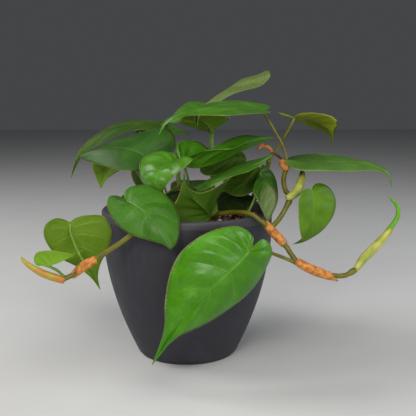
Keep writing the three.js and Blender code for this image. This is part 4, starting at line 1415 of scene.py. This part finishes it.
VINES = (
    Vine(
        "right_vine",
        ((7, -8, 98), (16, -17, 107), (26, -27, 112), (35, -36, 114.2), (44, -44, 114.4),
         (53, -48, 109), (58, -48, 104), (68, -56, 94), (77, -62, 82), (90, -62, 77),
         (101, -58, 73), (111, -54, 72), (119, -50, 75)),
        joints=(0.47, 0.68, 0.98),
    ),
    Vine(
        "right_branch",
        ((60, -44, 105), (66, -38, 110), (71, -36, 118), (74, -34, 125), (71, -30, 129),
         (70, -26, 136), (72, -22, 143), (73, -20, 146)),
        joints=(0.43, 0.97),
    ),
    Vine(
        "left_vine",
        ((-5, -20, 98), (-10, -32, 110), (-17, -46, 114.2), (-27, -58, 114.6), (-38, -64, 104),
         (-54, -60, 92), (-64, -58, 85), (-70, -57, 81), (-77, -58, 76), (-86, -60, 72)),
        joints=(0.28, 0.84),
    ),
    Vine(
        "olive_stem",
        ((-7, -16, 98), (-5, -17, 113), (-5, -19, 122), (-7, -19, 130)),
        joints=(0.95,),
    ),
    Vine(
        "back_branch",
        ((44, 10, 98), (56, 16, 124), (62, 10, 140), (63, 7, 148)),
        joints=(0.96,), end_share=0.85,
    ),
    Vine("sprout", ((-18, -26, 124), (-12, -25, 128), (-8, -22, 132)),
         finish=Stemwood.FRESH, radius=1.0, end_share=1.1),
    Vine("brown_stick", ((31, -8, 98), (34, -7, 106), (39, -4, 113)),
         finish=Stemwood.BROWN, radius=1.0, end_share=0.7),
    Vine("grey_stem", ((65, 3, 153), (68, -5, 152), (71, -14, 149.5)),
         finish=Stemwood.BROWN, radius=1.0),
)

SHEATHS = (
    Sheath("middle_sheath", ((54, -46, 109), (60, -49, 102.5), (65, -53, 97.5), (70, -56, 92)),
           3.0, 2.9, 0.45, seed=3, opening=150),
    Sheath("lower_sheath", ((74, -62, 85), (84, -63, 79.5), (95, -60, 74.5), (106, -57, 70.5)),
           3.0, 2.9, 0.4, seed=4, opening=40),
    Sheath("left_sheath", ((-62, -58, 86), (-69, -58, 82.5), (-75, -58, 78), (-80, -59, 73.5)),
           3.1, 2.9, 0.4, seed=8, opening=160, tear=0.3),
    Sheath("left_tip_sheath", ((-84, -60, 71), (-97, -63, 76.5), (-105, -63, 81),
                               (-111, -61, 85), (-114, -59, 88)),
           2.5, 2.1, 0.25, Stemwood.TIP, 1.05, 90, 0.08, 0.04, 5, slot="sheath_green"),
    Sheath("right_tip_sheath", ((118, -50, 73), (126, -47, 83), (137, -42, 92),
                                (148, -37, 103)),
           3.1, 2.7, 0.5, Stemwood.CREAM, 1.08, 250, 0.3, 0.1, 6, slot="sheath_green"),
    Sheath("long_leaf_sheath", ((70, -37, 124), (77, -36, 128), (82, -29, 135), (86, -17, 141)),
           3.2, 2.9, 0.36, Stemwood.CREAM, 0.85, 190, 0.04, 0.02, 9, slot="sheath_green"),
    Sheath("node_bract", ((68, -22, 149.5), (71, -24, 146.5), (75, -26, 143)),
           2.9, 2.7, 0.5, seed=10, turns=0.8),
    Sheath("stem_bract", ((-5, -22, 112), (-3, -22, 124), (-2, -21, 136)),
           2.6, 1.8, 0.4, seed=11, turns=0.6, hug=0.2),
    Sheath("curled_bract", ((54, 4, 156), (58, 5, 158.5), (63, 4, 156), (66, 3.4, 151)),
           1.6, 1.2, 0.5, seed=12, turns=0.7, hug=0.3),
)

BARK = EarthFinish("reddish_pine_bark", "5a2e1c", "93543a", "c08c70", 1.0)
PERLITE = EarthFinish("white_perlite", "b8aea2", "ddd5ca", "f2eee8", 0.6)
FIBRE = EarthFinish("dark_coir_fibre", "2a1c12", "45301f", "6b4c33", 0.8)

LOOSE = (
    Crumbs("bark_crumbs", 420, (1.6, 4.6), (1.4, 0.9, 0.5), BARK, "bark", 31),
    Crumbs("perlite_crumbs", 210, (1.2, 3.0), (1.0, 1.0, 0.9), PERLITE, "perlite", 32),
    Crumbs("coir_crumbs", 520, (1.2, 3.4), (1.9, 0.5, 0.4), FIBRE, "mix", 33),
    Chip("bark_chip_right", (49, -18), 4.6, BARK, "bark", 41),
    Chip("bark_chip_front", (38, -38), 4.2, BARK, "bark", 42),
    Chip("bark_chip_left", (-34, -30), 4.8, BARK, "bark", 43),
    Chip("bark_chip_back", (-8, 54), 4.4, BARK, "bark", 44),
    Chip("perlite_right", (51, -10), 3.2, PERLITE, "perlite", 45),
    Chip("perlite_front", (50, -28), 3.0, PERLITE, "perlite", 46),
    Chip("perlite_left", (-48, -8), 3.0, PERLITE, "perlite", 47),
)


def main() -> None:
    """Builds every piece in order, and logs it."""
    logging.basicConfig(level=logging.INFO)
    pieces = (Pot(), PottingMix(), *LOOSE, *VINES, *SHEATHS, RolledLeaf(), *LEAVES)
    for piece in pieces:
        made = piece.build()
        LOG.info("%s: %d faces", made.name, len(made.data.polygons))
    Studio().build()


if __name__ == "__main__":
    main()
